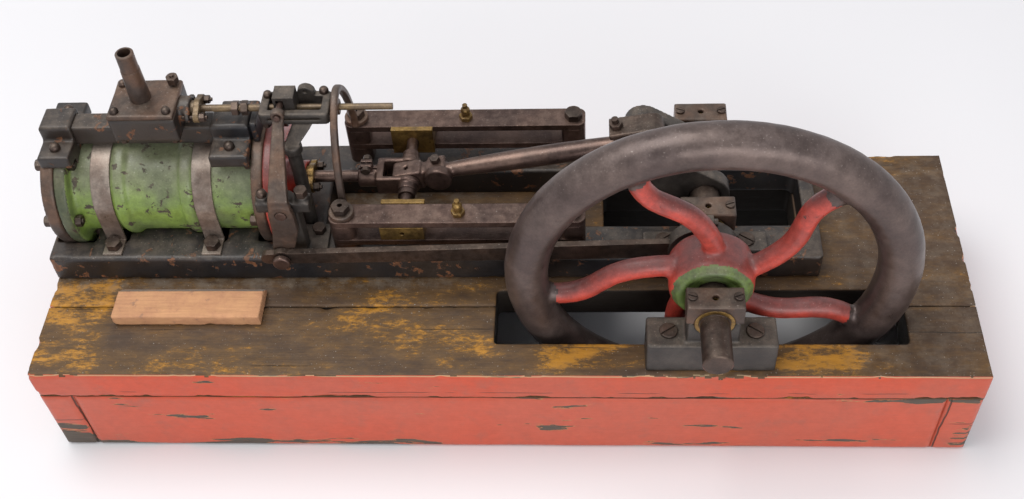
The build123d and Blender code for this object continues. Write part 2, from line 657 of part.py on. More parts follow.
def valve_guide_frame():
    """Rectangular frame in which the die block of the valve rod slides."""
    frame = block(FRAME_X, FRAME_Y, FRAME_Z, round_r=3.0, chamfer_r=0.8)
    frame -= block(FRAME_GAP_X, FRAME_GAP_Y, FRAME_Z)
    frame -= block(FRAME_GAP_X, (FRAME_Y[0], FRAME_GAP_Y[0]), (FRAME_Z[0] + 3.6, FRAME_Z[0] + 5.0))
    frame += Pos(-119.0, 135.0, FRAME_Z[1] + 1.0) * Rot(90, 0, 0) * Cylinder(5.6, 5.0)
    frame -= bar_y(-119.0, 131, 139, FRAME_Z[1] + 3.2, 1.2)
    return frame - bar_x(FRAME_X[0], FRAME_X[1], VALVE_Y, VALVE_Z, SPINDLE_R + RUNNING)


def valve_gear_bolts():
    """Dome nuts on the valve guide frame, the small frame bolt, and the rocker bearing's bolts."""
    top = FRAME_Z[1]
    solids = [dome_z(x, 136.0, top, 3.0) for x in (-134.0, -108.0)]
    solids.append(dome_z(-143.0, 133.0, top, 2.8))
    solids.append(hexagon_z(-143.5, 119.0, FRAME_Z[0] - 3.5, 5.0, 3.5))
    solids.append(rocker_foot_bolt() + hexagon_z(ROCKER_BOLT[0], ROCKER_BOLT[1], ROCKER_FOOT_TOP, 8, 4))
    for side, shape in ((-1, dome_z), (1, None)):
        x = ROCKER_X + side * ROCKER_BOLT_REACH
        y = (ROCKER_Y[0] + ROCKER_Y[1]) / 2
        shank = bar_z(x, y, ROCKER_Z - 4, ROCKER_CAP_TOP, 1.8)
        head = shape(x, y, ROCKER_CAP_TOP, 3.4) if shape else hexagon_z(x, y, ROCKER_CAP_TOP, 7.5, 5)
        solids.append(shank + head)
    return solids


def guide_standard():
    """Pillar with a collar and a bent strap that carries the valve guide frame."""
    pillar = bar_z(STANDARD_X, STANDARD_Y, BED_TOP, COLLAR_Z[1] - 1, 4.4)
    pillar += fillet(bar_z(STANDARD_X, STANDARD_Y, *COLLAR_Z, 6.0).edges(), 1.0)
    foot = Pos(STANDARD_X, STANDARD_Y, COLLAR_Z[1]) * Rectangle(9, 5)
    head = Pos(STANDARD_X + 8, FRAME_Y[0] + 4, FRAME_Z[0]) * Rectangle(13, 6)
    return pillar + loft([foot, head])


def arch_bracket():
    """Bent bar from guide to guide, with an eye at each foot and a hole for the tail rod."""
    low = GUIDE_HIGH + EYE_THICK
    path = Spline((ARCH_X, GUIDE_YS[0] + 8.6, GUIDE_HIGH), (ARCH_X, GUIDE_YS[0] + 14, 168),
                  (ARCH_X, VALVE_Y - 10, 194), (ARCH_X, VALVE_Y + 4, 200.5),
                  (ARCH_X, GUIDE_YS[1] - 24, 189), (ARCH_X, GUIDE_YS[1] - 8.6, GUIDE_HIGH))
    start = Plane(origin=path @ 0, z_dir=path % 0)
    arch = sweep(start * RectangleRounded(2 * ARCH_R, 2 * ARCH_R, 1.2), path)
    for y in GUIDE_YS:
        arch += bar_z(ARCH_X, y, GUIDE_HIGH, low, ARCH_FOOT_R)
        arch -= bar_z(ARCH_X, y, GUIDE_HIGH - 6, low + 12, BOLT_R)
        arch -= bar_z(ARCH_X, y, low, low + 5.2, 6.1)
        arch -= block((ARCH_X - 9, ARCH_X + 9), (y - 9, y + 9), (GUIDE_HIGH - 6, GUIDE_HIGH))
    arch += bar_x(ARCH_X - 2.5, ARCH_X + 2.5, VALVE_Y, VALVE_Z, 5.0)
    return arch - bar_x(ARCH_X - 5, ARCH_X + 5, VALVE_Y, VALVE_Z, TAIL_R + RUNNING)


TAIL_R = 2.1
ROCKER_Y = (79.5, 89.5)
ROCKER_BOLT_REACH = 12.5
ROCKER_CAP_TOP = ROCKER_Z + 7.0
ROCKER_FOOT_TOP = BED_TOP + 3.5
ROCKER_BOLT = (-120.5, 98.0)
ROCKER_SHAFT_R = 3.5


def rocker_foot_bolt():
    return bar_z(*ROCKER_BOLT, DECK + 2, ROCKER_FOOT_TOP, 2.5)


def rocker_bearing():
    """Pedestal and cap that carry the rocker shaft."""
    foot = block((ROCKER_X - 2, -113.5), (ROCKER_Y[0], 104), (BED_TOP, ROCKER_FOOT_TOP), round_r=1.5)
    stem = block((ROCKER_X - 2, ROCKER_X + 9), ROCKER_Y, (ROCKER_FOOT_TOP, ROCKER_Z))
    head_x = (ROCKER_X - ROCKER_BOLT_REACH - 4.5, ROCKER_X + ROCKER_BOLT_REACH + 4.5)
    head = block(head_x, ROCKER_Y, (ROCKER_Z - 4.5, ROCKER_Z))
    bore = bar_y(ROCKER_X, *ROCKER_Y, ROCKER_Z, ROCKER_SHAFT_R + RUNNING)
    cap = block(head_x, ROCKER_Y, (ROCKER_Z, ROCKER_Z + 3.5))
    cap += bar_y(ROCKER_X, *ROCKER_Y, ROCKER_Z, 7.5) & block(head_x, ROCKER_Y, (ROCKER_Z, ROCKER_CAP_TOP))
    y = (ROCKER_Y[0] + ROCKER_Y[1]) / 2
    for side in (-1, 1):
        x = ROCKER_X + side * ROCKER_BOLT_REACH
        cap += bar_z(x, y, ROCKER_Z, ROCKER_CAP_TOP, 4.2)
        cap -= bar_z(x, y, ROCKER_Z, ROCKER_CAP_TOP, 1.8)
        head -= bar_z(x, y, ROCKER_Z - 4.5, ROCKER_Z, 1.8)
    return [(foot + stem + head) - bore - rocker_foot_bolt(), cap - bore]


# ---- crankshaft bearings -------------------------------------------------------------
BEARING_WIDTH = 16.0
BEARING_FOOT = 79.0
BEARING_BLOCK = 34.0
BEARING_CAP_TOP = AXIS_Z + 15.5
BRASS_R = SHAFT_R + 2.5
CAP_SCREW_REACH = 13.5
OUTBOARD_FOOT_Y = (4.0, 27.0)
OUTBOARD_FOOT_TOP = 110.0


def bearing_pedestal(y, foot_y, foot_z):
    foot = block((CRANK_X - BEARING_FOOT / 2, CRANK_X + BEARING_FOOT / 2), foot_y, foot_z,
                 round_r=1.5, chamfer_r=0.8)
    post_y = (y - BEARING_WIDTH / 2, y + BEARING_WIDTH / 2)
    half = BEARING_BLOCK / 2 - 1.5
    post = block((CRANK_X - half, CRANK_X + half), post_y, (foot_z[1], AXIS_Z))
    body = foot + post - bar_y(CRANK_X, *post_y, AXIS_Z, BRASS_R)
    body -= [bar_z(CRANK_X + side * BEARING_SCREW_REACH, y, foot_z[0], foot_z[1], BEARING_SCREW_R)
             for side in (-1, 1)]
    body -= [bar_z(CRANK_X + side * CAP_SCREW_REACH, y, AXIS_Z - 9, AXIS_Z, 1.5) for side in (-1, 1)]
    return body


def outboard_pedestal():
    return bearing_pedestal(BEARING_YS[0], OUTBOARD_FOOT_Y, (DECK, OUTBOARD_FOOT_TOP))


def bed_pedestals():
    half = BEARING_WIDTH / 2
    return [bearing_pedestal(y, (y - half, y + half), (BED_TOP, BED_TOP + 5)) for y in BEARING_YS[1:]]


def bearing_caps():
    caps = []
    half = BEARING_BLOCK / 2
    for y in BEARING_YS:
        span = (y - BEARING_WIDTH / 2, y + BEARING_WIDTH / 2)
        cap = block((CRANK_X - half, CRANK_X + half), span, (AXIS_Z, BEARING_CAP_TOP), chamfer_r=1.0)
        cap -= bar_y(CRANK_X, *span, AXIS_Z, BRASS_R)
        cap -= bar_z(CRANK_X, y, AXIS_Z, BEARING_CAP_TOP, 1.9)
        for side in (-1, 1):
            cap -= bar_z(CRANK_X + side * CAP_SCREW_REACH, y, AXIS_Z, BEARING_CAP_TOP, 1.5)
        caps.append(cap)
    return caps


def bearing_brasses():
    halves = []
    for y in BEARING_YS:
        span = (y - BEARING_WIDTH / 2, y + BEARING_WIDTH / 2)
        bush = bar_y(CRANK_X, *span, AXIS_Z, BRASS_R) - bar_y(CRANK_X, *span, AXIS_Z, SHAFT_R + RUNNING)
        reach = BRASS_R + 1
        for z in ((AXIS_Z - reach, AXIS_Z), (AXIS_Z, AXIS_Z + reach)):
            half = bush & block((CRANK_X - reach, CRANK_X + reach), span, z)
            if z[1] > AXIS_Z:
                half -= bar_z(CRANK_X, y, AXIS_Z, BEARING_CAP_TOP, 1.9)
            halves.append(half)
    return halves


def bearing_screws():
    """Slotted screws: two in each foot and two in each cap."""
    screws = []
    tops = (OUTBOARD_FOOT_TOP, BED_TOP + 5, BED_TOP + 5)
    for y, top in zip(BEARING_YS, tops):
        for side in (-1, 1):
            x = CRANK_X + side * BEARING_SCREW_REACH
            shank = bar_z(x, y, SCREW_TIP, top, BEARING_SCREW_R)
            screws.append(shank + slotted(x, y, top, 5.6, 1.8, slot_turn=-35 * side))
            x = CRANK_X + side * CAP_SCREW_REACH
            shank = bar_z(x, y, AXIS_Z - 9, BEARING_CAP_TOP, 1.5)
            screws.append(shank + slotted(x, y, BEARING_CAP_TOP, 3.0, 1.6, slot_turn=20 * side))
    return screws


# ---- crankshaft and flywheel ---------------------------------------------------------
WEB_THICK = 9.5
WEB_GAP = 21.0
WEB_Y = ((AXIS_Y - WEB_GAP / 2 - WEB_THICK, AXIS_Y - WEB_GAP / 2),
         (AXIS_Y + WEB_GAP / 2, AXIS_Y + WEB_GAP / 2 + WEB_THICK))
SHAFT_BACK = 181.0
HUB_R = 26.0
HUB_HALF = 15.0
HUB_RING_R = 22.0
HUB_FRONT = 27.5
SPOKE_R = 6.6
SPOKE_ANGLES = [43.0 + 72.0 * i for i in range(SPOKES)]  # where each spoke meets the rim
SPOKE_CURVE = ((14.0, -0.62), (36.0, -0.34), (58.0, -0.13), (80.0, 0.07), (97.0, 0.07),
               (112.0, 0.0))  # radius, and swing in radians
SHEAVE_R = 17.0
SHEAVE_LIP = 1.5


def crankshaft():
    """The two shaft lengths of the built-up crankshaft."""
    free = chamfer(bar_y(CRANK_X, -SHAFT_REACH, SHAFT_END_Y, AXIS_Z, SHAFT_END_R).edges()
                   .sort_by(Axis.Y)[0], 0.8)
    front = free + bar_y(CRANK_X, SHAFT_END_Y, WEB_Y[0][1], AXIS_Z, SHAFT_R)
    return [front, bar_y(CRANK_X, WEB_Y[1][0], SHAFT_BACK, AXIS_Z, SHAFT_R)]


def crank_webs():
    webs = []
    for y in WEB_Y:
        web = tapered_link((CRANK_X, AXIS_Z), (PIN_X, PIN_Z), 16.0, 11.5, y)
        web -= bar_y(CRANK_X, *y, AXIS_Z, SHAFT_R)
        webs.append(web - bar_y(PIN_X, *y, PIN_Z, PIN_R))
    return webs


def crank_pin():
    return bar_y(PIN_X, WEB_Y[0][0], WEB_Y[1][1], PIN_Z, PIN_R)


def spoke(angle):
    """One S-curved spoke of round section, from the hub to the rim."""
    a = radians(angle)

    def at(radius, swing):
        return (CRANK_X + radius * cos(a + swing), WHEEL_Y, AXIS_Z + radius * sin(a + swing))

    path = Spline(*[at(radius, swing) for radius, swing in SPOKE_CURVE])
    return sweep(Plane(origin=path @ 0, z_dir=path % 0) * Circle(SPOKE_R), path)


def flywheel():
    """Cast flywheel: round-section rim, five S-curved spokes and a hub with a raised front ring."""
    rim = Pos(CRANK_X, WHEEL_Y, AXIS_Z) * Rot(90, 0, 0) * Torus(WHEEL_R - RIM_R, RIM_R)
    hub = bar_y(CRANK_X, WHEEL_Y - HUB_HALF, WHEEL_Y + HUB_HALF, AXIS_Z, HUB_R)
    hub = fillet(hub.edges().filter_by(GeomType.CIRCLE), 6.0)
    hub += bar_y(CRANK_X, HUB_FRONT, WHEEL_Y, AXIS_Z, HUB_RING_R)
    hub -= bar_y(CRANK_X, HUB_FRONT, HUB_FRONT + 2.5, AXIS_Z, HUB_RING_R - 4.5)
    wheel = rim + hub
    for angle in SPOKE_ANGLES:
        wheel += spoke(angle)
    return wheel - bar_y(CRANK_X, HUB_FRONT, WHEEL_Y + HUB_HALF, AXIS_Z, SHAFT_R)


def eccentric_sheave():
    """Eccentric on the shaft, with a lip on each side of the strap's groove."""
    sheave = bar_y(SHEAVE_X, *ECCENTRIC_Y, SHEAVE_Z, SHEAVE_R)
    lip_y = (ECCENTRIC_Y[0] - SHEAVE_LIP - 0.3, ECCENTRIC_Y[0] - 0.3)
    sheave += bar_y(SHEAVE_X, *lip_y, SHEAVE_Z, SHEAVE_R + 2) + bar_y(
        SHEAVE_X, lip_y[1], ECCENTRIC_Y[0], SHEAVE_Z, SHEAVE_R)
    back_y = (ECCENTRIC_Y[1] + 0.3, ECCENTRIC_Y[1] + 0.3 + SHEAVE_LIP)
    sheave += bar_y(SHEAVE_X, *back_y, SHEAVE_Z, SHEAVE_R + 2) + bar_y(
        SHEAVE_X, ECCENTRIC_Y[1], back_y[0], SHEAVE_Z, SHEAVE_R)
    return sheave - bar_y(CRANK_X, lip_y[0], back_y[1], AXIS_Z, SHAFT_R)


# ---- crosshead and piston ------------------------------------------------------------
CROSS_PIN_R = 3.9
SLIPPER_HALF = 14.0
SLIDE_PLAY = 0.3
PISTON_X = -189.0             # its front face at rest
PISTON_THICK = 20.0
FORK_HALF = 10.0
FORK_CHEEK = 3.2
CLAMP_X = (-95.0, -81.5)
CLAMP_R = 7.2


def crosshead():
    """Clamp on the piston rod and a fork whose cheeks carry the cross pin."""
    body = bar_x(*CLAMP_X, AXIS_Y, AXIS_Z, CLAMP_R)
    body = fillet(body.edges().filter_by(GeomType.CIRCLE), 1.2)
    body += block((CLAMP_X[0] + 2.5, CLAMP_X[1] - 3.5), (AXIS_Y - 3.5, AXIS_Y + 3.5),
                  (AXIS_Z, AXIS_Z + CLAMP_R + 5.5))
    body += block((CLAMP_X[1] - 1, CLAMP_X[1] + 3.5), (AXIS_Y - FORK_HALF, AXIS_Y + FORK_HALF),
                  (AXIS_Z - 7, AXIS_Z + 7))
    for side in (-1, 1):
        cheek = sorted((AXIS_Y + side * FORK_HALF, AXIS_Y + side * (FORK_HALF - FORK_CHEEK)))
        body += block((CLAMP_X[1], CROSSHEAD_X), cheek, (AXIS_Z - 7, AXIS_Z + 7))
        body += bar_y(CROSSHEAD_X, *cheek, AXIS_Z, 8.0)
        boss = sorted((AXIS_Y + side * FORK_HALF, AXIS_Y + side * (FORK_HALF + 5)))
        body += bar_y(CROSSHEAD_X, *boss, AXIS_Z, 6.2)
    body -= bar_y(CROSSHEAD_X, AXIS_Y - 20, AXIS_Y + 20, AXIS_Z, CROSS_PIN_R)
    body -= block((CLAMP_X[0], CLAMP_X[1] - 1), (AXIS_Y - 0.6, AXIS_Y + 0.6), (AXIS_Z, AXIS_Z + 15))
    body -= clamp_bolt_shape()
    return body - bar_x(CLAMP_X[0], CLAMP_X[1] + 3.5, AXIS_Y, AXIS_Z, PISTON_ROD_R)


CLAMP_BOLT_X = (CLAMP_X[0] + CLAMP_X[1]) / 2 - 0.5
CLAMP_BOLT_Z = AXIS_Z + CLAMP_R + 3.0


def clamp_bolt_shape():
    return bar_y(CLAMP_BOLT_X, AXIS_Y - 3.5, AXIS_Y + 3.5, CLAMP_BOLT_Z, 1.3)


def clamp_bolt():
    """Bolt that pinches the clamp on the piston rod."""
    bolt = clamp_bolt_shape()
    bolt += hexagon_y(CLAMP_BOLT_X, AXIS_Y + 3.5, CLAMP_BOLT_Z, 5.5, 3.5)
    return bolt + hexagon_y(CLAMP_BOLT_X, AXIS_Y - 3.5, CLAMP_BOLT_Z, 5.5, -3.0)


def cross_pin():
    """Long pin from one slipper to the other, with a collar beside each fork boss."""
    reach = GUIDE_OFFSET + 2
    pin = bar_y(CROSSHEAD_X, AXIS_Y - reach, AXIS_Y + reach, AXIS_Z, CROSS_PIN_R)
    for side in (-1, 1):
        collar = sorted((AXIS_Y + side * 15, AXIS_Y + side * 19))
        pin += bar_y(CROSSHEAD_X, *collar, AXIS_Z, 5.6)
    return pin


def slippers():
    """Brass slippers between the guide bars, each with a flange on its inner side."""
    blocks = []
    span = (CROSSHEAD_X - SLIPPER_HALF, CROSSHEAD_X + SLIPPER_HALF)
    for side, y in zip((-1, 1), GUIDE_YS):
        half = GUIDE_WIDTH / 2
        z = (GAP_LOW + SLIDE_PLAY, GAP_HIGH - SLIDE_PLAY)
        piece = block(span, (y - half, y + half), z)
        inner = y - side * half
        flange = sorted((inner - side * SLIDE_PLAY, inner - side * (SLIDE_PLAY + 3.5)))
        piece += block(span, flange, (GUIDE_LOW, GUIDE_HIGH + 0.5))
        neck = sorted((inner, inner - side * SLIDE_PLAY))
        piece += block(span, neck, z)
        piece -= bar_y(CROSSHEAD_X, AXIS_Y - GUIDE_OFFSET - 2, AXIS_Y + GUIDE_OFFSET + 2, AXIS_Z,
                       CROSS_PIN_R)
        outer = y + side * half
        piece -= bar_y(CROSSHEAD_X, *sorted((outer, outer - side * 4)), AXIS_Z, 1.4)
        blocks.append(piece)
    return blocks


def piston_rod():
    rod = bar_x(PISTON_X - PISTON_THICK, CLAMP_X[1] + 3, AXIS_Y, AXIS_Z, PISTON_ROD_R)
    return rod + hexagon_x(PISTON_X - PISTON_THICK, AXIS_Y, AXIS_Z, 10, -4)


RING_XS = (PISTON_X - 6.0, PISTON_X - 14.0)
RING_WIDTH = 2.4


def piston():
    """Piston with its two rings."""
    disc = bar_x(PISTON_X - PISTON_THICK, PISTON_X, AXIS_Y, AXIS_Z, BORE_R - 0.3)
    disc -= bar_x(PISTON_X - PISTON_THICK, PISTON_X, AXIS_Y, AXIS_Z, PISTON_ROD_R)
    rings = []
    for x in RING_XS:
        span = (x - RING_WIDTH / 2, x + RING_WIDTH / 2)
        ring = bar_x(*span, AXIS_Y, AXIS_Z, BORE_R - 0.06) - bar_x(*span, AXIS_Y, AXIS_Z, BORE_R - 3)
        disc -= ring + bar_x(*span, AXIS_Y, AXIS_Z, BORE_R) - bar_x(*span, AXIS_Y, AXIS_Z, BORE_R - 3)
        rings.append(ring)
    return [disc] + rings


# ---- connecting rod ------------------------------------------------------------------
ROD_HALF = FORK_HALF - FORK_CHEEK - 0.4
STRAP_HALF = 16.0
SHANK_START = 21.0
SHANK_END = ROD_SPAN - 17.0


def on_rod(shape):
    """Moves a shape made along +X from the cross pin to the rod's place at rest."""
    return Pos(CROSSHEAD_X, AXIS_Y, AXIS_Z) * Rot(0, -ROD_ANGLE, 0) * shape


def connecting_rod():
    """Fish-bellied round rod with a block at the cross pin, a round boss and a flat butt end."""
    small = block((-9, 10), (-ROD_HALF, ROD_HALF), (-7.5, 7.5), round_r=1.0)
    small += block((9, 16), (-5, 5), (-6, 6))
    small += block((14, 26), (-6, 8), (-5.5, 6.5), round_r=1.0)
    small += bar_y(SHANK_START, -9.5, -4, 0.5, 9.0)
    outline = Spline((SHANK_START, 4.4), (SHANK_START + 60, 6.6), (SHANK_END, 5.8))
    edge = Polyline((SHANK_END, 5.8), (SHANK_END, 0), (SHANK_START, 0), (SHANK_START, 4.4))
    shank = revolve(make_face(Curve() + [outline, edge]), Axis.X)
    butt = block((SHANK_END - 1, SHANK_END + 5), (-8, 8), (-12, 12))
    rod = small + shank + butt
    rod -= bar_y(0, -20, 20, 0, CROSS_PIN_R + RUNNING)
    rod -= bar_z(0, 0, 0, 10, 1.4)
    return on_rod(rod)


def big_end_span():
    return (SHANK_END + 5, ROD_SPAN + 14)


def big_end_brasses():
    """Split brasses round the crank pin; their bore is the opened pivot."""
    x0, x1 = big_end_span()
    halves = []
    for x in ((x0, ROD_SPAN), (ROD_SPAN, x1 - 2.8)):
        half = block(x, (-8, 8), (-12, 12))
        half -= bar_y(ROD_SPAN, -9, 9, 0, PIN_R + PIN_PLAY)
        halves.append(on_rod(half))
    return halves


def big_end_strap():
    """Strap round the big-end brasses and over the rod's butt end."""
    x0, x1 = big_end_span()
    strap = block((x0 - 8, x1), (-8, 8), (-STRAP_HALF + 1, STRAP_HALF))
    strap = fillet(strap.edges().filter_by(Axis.Y).group_by(Axis.X)[-1], 7.0)
    strap -= block((x0 - 8, x1 - 2.8), (-8, 8), (-12, 12))
    strap -= bar_z(x0 - 3, 0, -20, 20, 2.2)
    return on_rod(strap)


def rod_bolts():
    """Bolt through the strap and the butt end, and the bolt in the small end's block."""
    x0 = big_end_span()[0]
    solids = []
    top = hexagon_z(x0 - 3, 0, STRAP_HALF, 7.5, 3.5) + bar_z(x0 - 3, 0, STRAP_HALF, STRAP_HALF + 7, 2.2)
    solids.append(on_rod(top + bar_z(x0 - 3, 0, 12.0, STRAP_HALF, 2.2)))
    low = hexagon_z(x0 - 3, 0, -STRAP_HALF - 2, 7.5, 3)
    solids.append(on_rod(low + bar_z(x0 - 3, 0, -STRAP_HALF + 1, -12.0, 2.2)))
    solids.append(on_rod(hexagon_z(20.0, 3.0, 6.5, 6.0, 3.5)))
    return solids


# ---- rocker and eccentric rod --------------------------------------------------------
LEVER_Y = (72.5, 77.5)
ECC_ROD_Y = (67.5, 71.7)
ECC_PIN_R = 3.0
TOP_PIN_R = 2.0


def rocker_lever():
    """Rocker: a wide lower arm and a tapering upper arm that leans back to the valve rod."""
    lower = tapered_link((ROCKER_X, ROCKER_Z - 14), ROCKER_PIN, 8.2, 6.5, LEVER_Y)
    lower += tapered_link((ROCKER_X, ROCKER_Z), (ROCKER_X, ROCKER_Z - 14), 7.8, 8.2,
                          LEVER_Y)
    across = (1, 0, 0)
    foot = Plane(origin=(ROCKER_X, LEVER_Y[0] + 2.4, ROCKER_Z), x_dir=across, z_dir=(0, 0, 1))
    knee = Plane(origin=(ROCKER_X, LEVER_Y[0] + 2.8, ROCKER_Z + 11), x_dir=across, z_dir=(0, 0.45, 1))
    middle = Plane(origin=(ROCKER_X + 0.8, 94.0, ROCKER_Z + 31), x_dir=across, z_dir=(0, 1, 1))
    tip = Plane(origin=(ROCKER_TOP[0], TOP_EYE_Y[0] + 2, ROCKER_TOP[1] - 3), x_dir=across, z_dir=(0, 1, 1))
    upper = loft([foot * Rectangle(15, 4.6), knee * Rectangle(12.5, 4.4)])
    upper += loft([knee * Rectangle(12.5, 4.4), middle * Rectangle(9.0, 4.2), tip * Rectangle(6.5, 3.8)])
    eye = bar_y(ROCKER_TOP[0], *TOP_EYE_Y, ROCKER_TOP[1], 4.2)
    lever = lower + upper + eye
    lever -= bar_y(ROCKER_X, LEVER_Y[0] - 1, LEVER_Y[1] + 1, ROCKER_Z, ROCKER_SHAFT_R)
    lever -= bar_y(ROCKER_PIN[0], LEVER_Y[0] - 1, LEVER_Y[1] + 1, ROCKER_PIN[1], ECC_PIN_R)
    return lever - bar_y(ROCKER_TOP[0], TOP_EYE_Y[0] - 5, TOP_EYE_Y[1], ROCKER_TOP[1], TOP_PIN_R)


TOP_EYE_Y = (109.5, 114.5)


def rocker_pins():
    """Rocker shaft, the pin in the eccentric rod with its bronze head, and the top pin."""
    shaft = bar_y(ROCKER_X, LEVER_Y[0] - 0.5, ROCKER_Y[1] + 3, ROCKER_Z, ROCKER_SHAFT_R)
    head_y = ECC_ROD_Y[0] - 4.4
    low = bar_y(ROCKER_PIN[0], head_y + 4, LEVER_Y[1] + 1.5, ROCKER_PIN[1], ECC_PIN_R)
    low += fillet(bar_y(ROCKER_PIN[0], head_y, head_y + 4, ROCKER_PIN[1], 5.6).edges(), 1.2)
    top = bar_y(ROCKER_TOP[0], TOP_EYE_Y[0] - 1.5, 127.5, ROCKER_TOP[1], TOP_PIN_R)
    return [shaft, low, top]


def eccentric_rod():
    """Flat bar from the rocker pin to the eccentric strap, widening towards the strap."""
    near = (ROCKER_PIN[0] - 9.0, ROCKER_PIN[1] + 0.5)
    far = (SHEAVE_X - SHEAVE_R - 6.0, SHEAVE_Z)
    rod = tapered_link(near, far, 4.6, 7.0, ECC_ROD_Y)
    rod += bar_y(ROCKER_PIN[0], *ECC_ROD_Y, ROCKER_PIN[1], 7.0)
    rod -= bar_y(SHEAVE_X, *ECC_ROD_Y, SHEAVE_Z, SHEAVE_R + 4.5)
    return rod - bar_y(ROCKER_PIN[0], *ECC_ROD_Y, ROCKER_PIN[1], ECC_PIN_R + RUNNING)


STRAP_PLAY = 0.7


def eccentric_strap():
    """Two half rings round the eccentric, bolted together above and below."""
    y = (ECCENTRIC_Y[0] + 0.3, ECCENTRIC_Y[1] - 0.3)
    ring = bar_y(SHEAVE_X, *y, SHEAVE_Z, SHEAVE_R + 4.5)
    for side in (-1, 1):
        z = sorted((SHEAVE_Z + side * (SHEAVE_R + 2), SHEAVE_Z + side * (SHEAVE_R + 9)))
        ring += block((SHEAVE_X - 5.5, SHEAVE_X + 5.5), y, z)
    ring -= bar_y(SHEAVE_X, *y, SHEAVE_Z, SHEAVE_R + STRAP_PLAY)
    middle = (y[0] + y[1]) / 2
    halves = []
    for x in ((SHEAVE_X - 40, SHEAVE_X), (SHEAVE_X, SHEAVE_X + 40)):
        half = ring & block(x, y, (SHEAVE_Z - 40, SHEAVE_Z + 40))
        halves.append(half)
    for side in (-1, 1):
        z = SHEAVE_Z + side * (SHEAVE_R + 6.6)
        bolt = bar_x(SHEAVE_X - 5.5, SHEAVE_X + 5.5, middle, z, 1.3)
        halves = [half - bolt for half in halves]
        bolt += hexagon_x(SHEAVE_X + 5.5, middle, z, 4.5, 2.5)
        halves.append(bolt + hexagon_x(SHEAVE_X - 5.5, middle, z, 4.5, -2.5))
    return halves


# ---- valve spindle -------------------------------------------------------------------
DIE_X = (-140.0 + 3.0, -124.0)


def valve_spindle():
    return bar_x(-226.0, DIE_X[0], VALVE_Y, VALVE_Z, SPINDLE_R)


def lock_nuts():
    nuts = [hexagon_x(x, VALVE_Y, VALVE_Z, 8.5, 4.2, turn=15 * i) for i, x in enumerate((-165.0, -159.0))]
    return [nut - bar_x(-170, -150, VALVE_Y, VALVE_Z, SPINDLE_R) for nut in nuts]


def slide_valve():
    """D-shaped slide valve held on the spindle inside the chest."""
    valve = block((-229.5, -209.5), (VALVE_Y - 7, VALVE_Y + 7), (186.3, VALVE_Z + 4))
    valve -= block((-224, -215), (VALVE_Y - 4, VALVE_Y + 4), (186.3, 189.3))
    return valve - bar_x(-230, -209, VALVE_Y, VALVE_Z, SPINDLE_R)


def die_block():
    """Block that slides in the guide frame and is slotted for the rocker's top pin."""
    body = block(DIE_X, (FRAME_GAP_Y[0] + 0.3, FRAME_GAP_Y[1] - 0.3), (FRAME_Z[0], FRAME_Z[1] + 9))
    slot_half = TOP_PIN_R + 0.3
    middle = ROCKER_TOP[0]
    body -= block((middle - slot_half, middle + slot_half), FRAME_GAP_Y,
                  (ROCKER_TOP[1] - 3.2, ROCKER_TOP[1] + 3.2))
    body -= bar_x(DIE_X[1] - 5, DIE_X[1], VALVE_Y, VALVE_Z, TAIL_R)
    return body


def tail_rod():
    return bar_x(DIE_X[1] - 5, -64.5, VALVE_Y, VALVE_Z, TAIL_R)


# ---- all pieces ----------------------------------------------------------------------
PIECES = [
    base_top_front, base_top_back, base_long_planks, base_end_planks, wood_cleat,
    bedplate, cylinder_barrel, rear_cover, front_cover, cylinder_bolts, piston_gland,
    gland_studs, cylinder_straps, steam_passage_bar, passage_brackets, bracket_screws,
    steam_chest, chest_cover, chest_bolts, inlet_pipe, valve_gland,
    guide_bars_upper, guide_bars_lower, guide_blocks, bed_bolts, oil_cups,
    valve_guide_frame, valve_gear_bolts, guide_standard, arch_bracket, rocker_bearing,
    outboard_pedestal, bed_pedestals, bearing_caps, bearing_brasses, bearing_screws,
    crankshaft, crank_webs, crank_pin, flywheel, eccentric_sheave,
    crosshead, clamp_bolt, cross_pin, slippers, piston_rod, piston,
    connecting_rod, big_end_strap, big_end_brasses, rod_bolts,
    rocker_lever, rocker_pins, eccentric_rod, eccentric_strap,
    valve_spindle, lock_nuts, slide_valve, die_block, tail_rod,
]


def place(shape):
    """Moves a shape from base coordinates to the object's own frame."""
    return Pos(0, -DEPTH_MIDDLE, 0) * shape


def main():
    os.makedirs("parts", exist_ok=True)
    for piece in PIECES:
        made = piece()
        solids = made if isinstance(made, list) else [made]
        placed = [solid for shape in solids for solid in place(shape).solids()]
        export_step(Compound(children=placed), f"parts/{piece.__name__}.step")


main()
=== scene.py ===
import bpy
import json
import math
from mathutils import Matrix, Vector, noise


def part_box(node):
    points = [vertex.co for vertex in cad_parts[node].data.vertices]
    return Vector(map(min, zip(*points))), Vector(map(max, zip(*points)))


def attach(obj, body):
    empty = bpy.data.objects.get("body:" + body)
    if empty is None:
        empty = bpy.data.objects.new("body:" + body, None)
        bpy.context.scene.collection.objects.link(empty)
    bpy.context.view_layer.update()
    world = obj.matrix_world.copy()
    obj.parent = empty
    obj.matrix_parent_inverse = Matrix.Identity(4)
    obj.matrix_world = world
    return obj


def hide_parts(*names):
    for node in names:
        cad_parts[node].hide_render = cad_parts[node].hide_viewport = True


# Looks of the model steam engine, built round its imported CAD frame. Metres, +Z up.

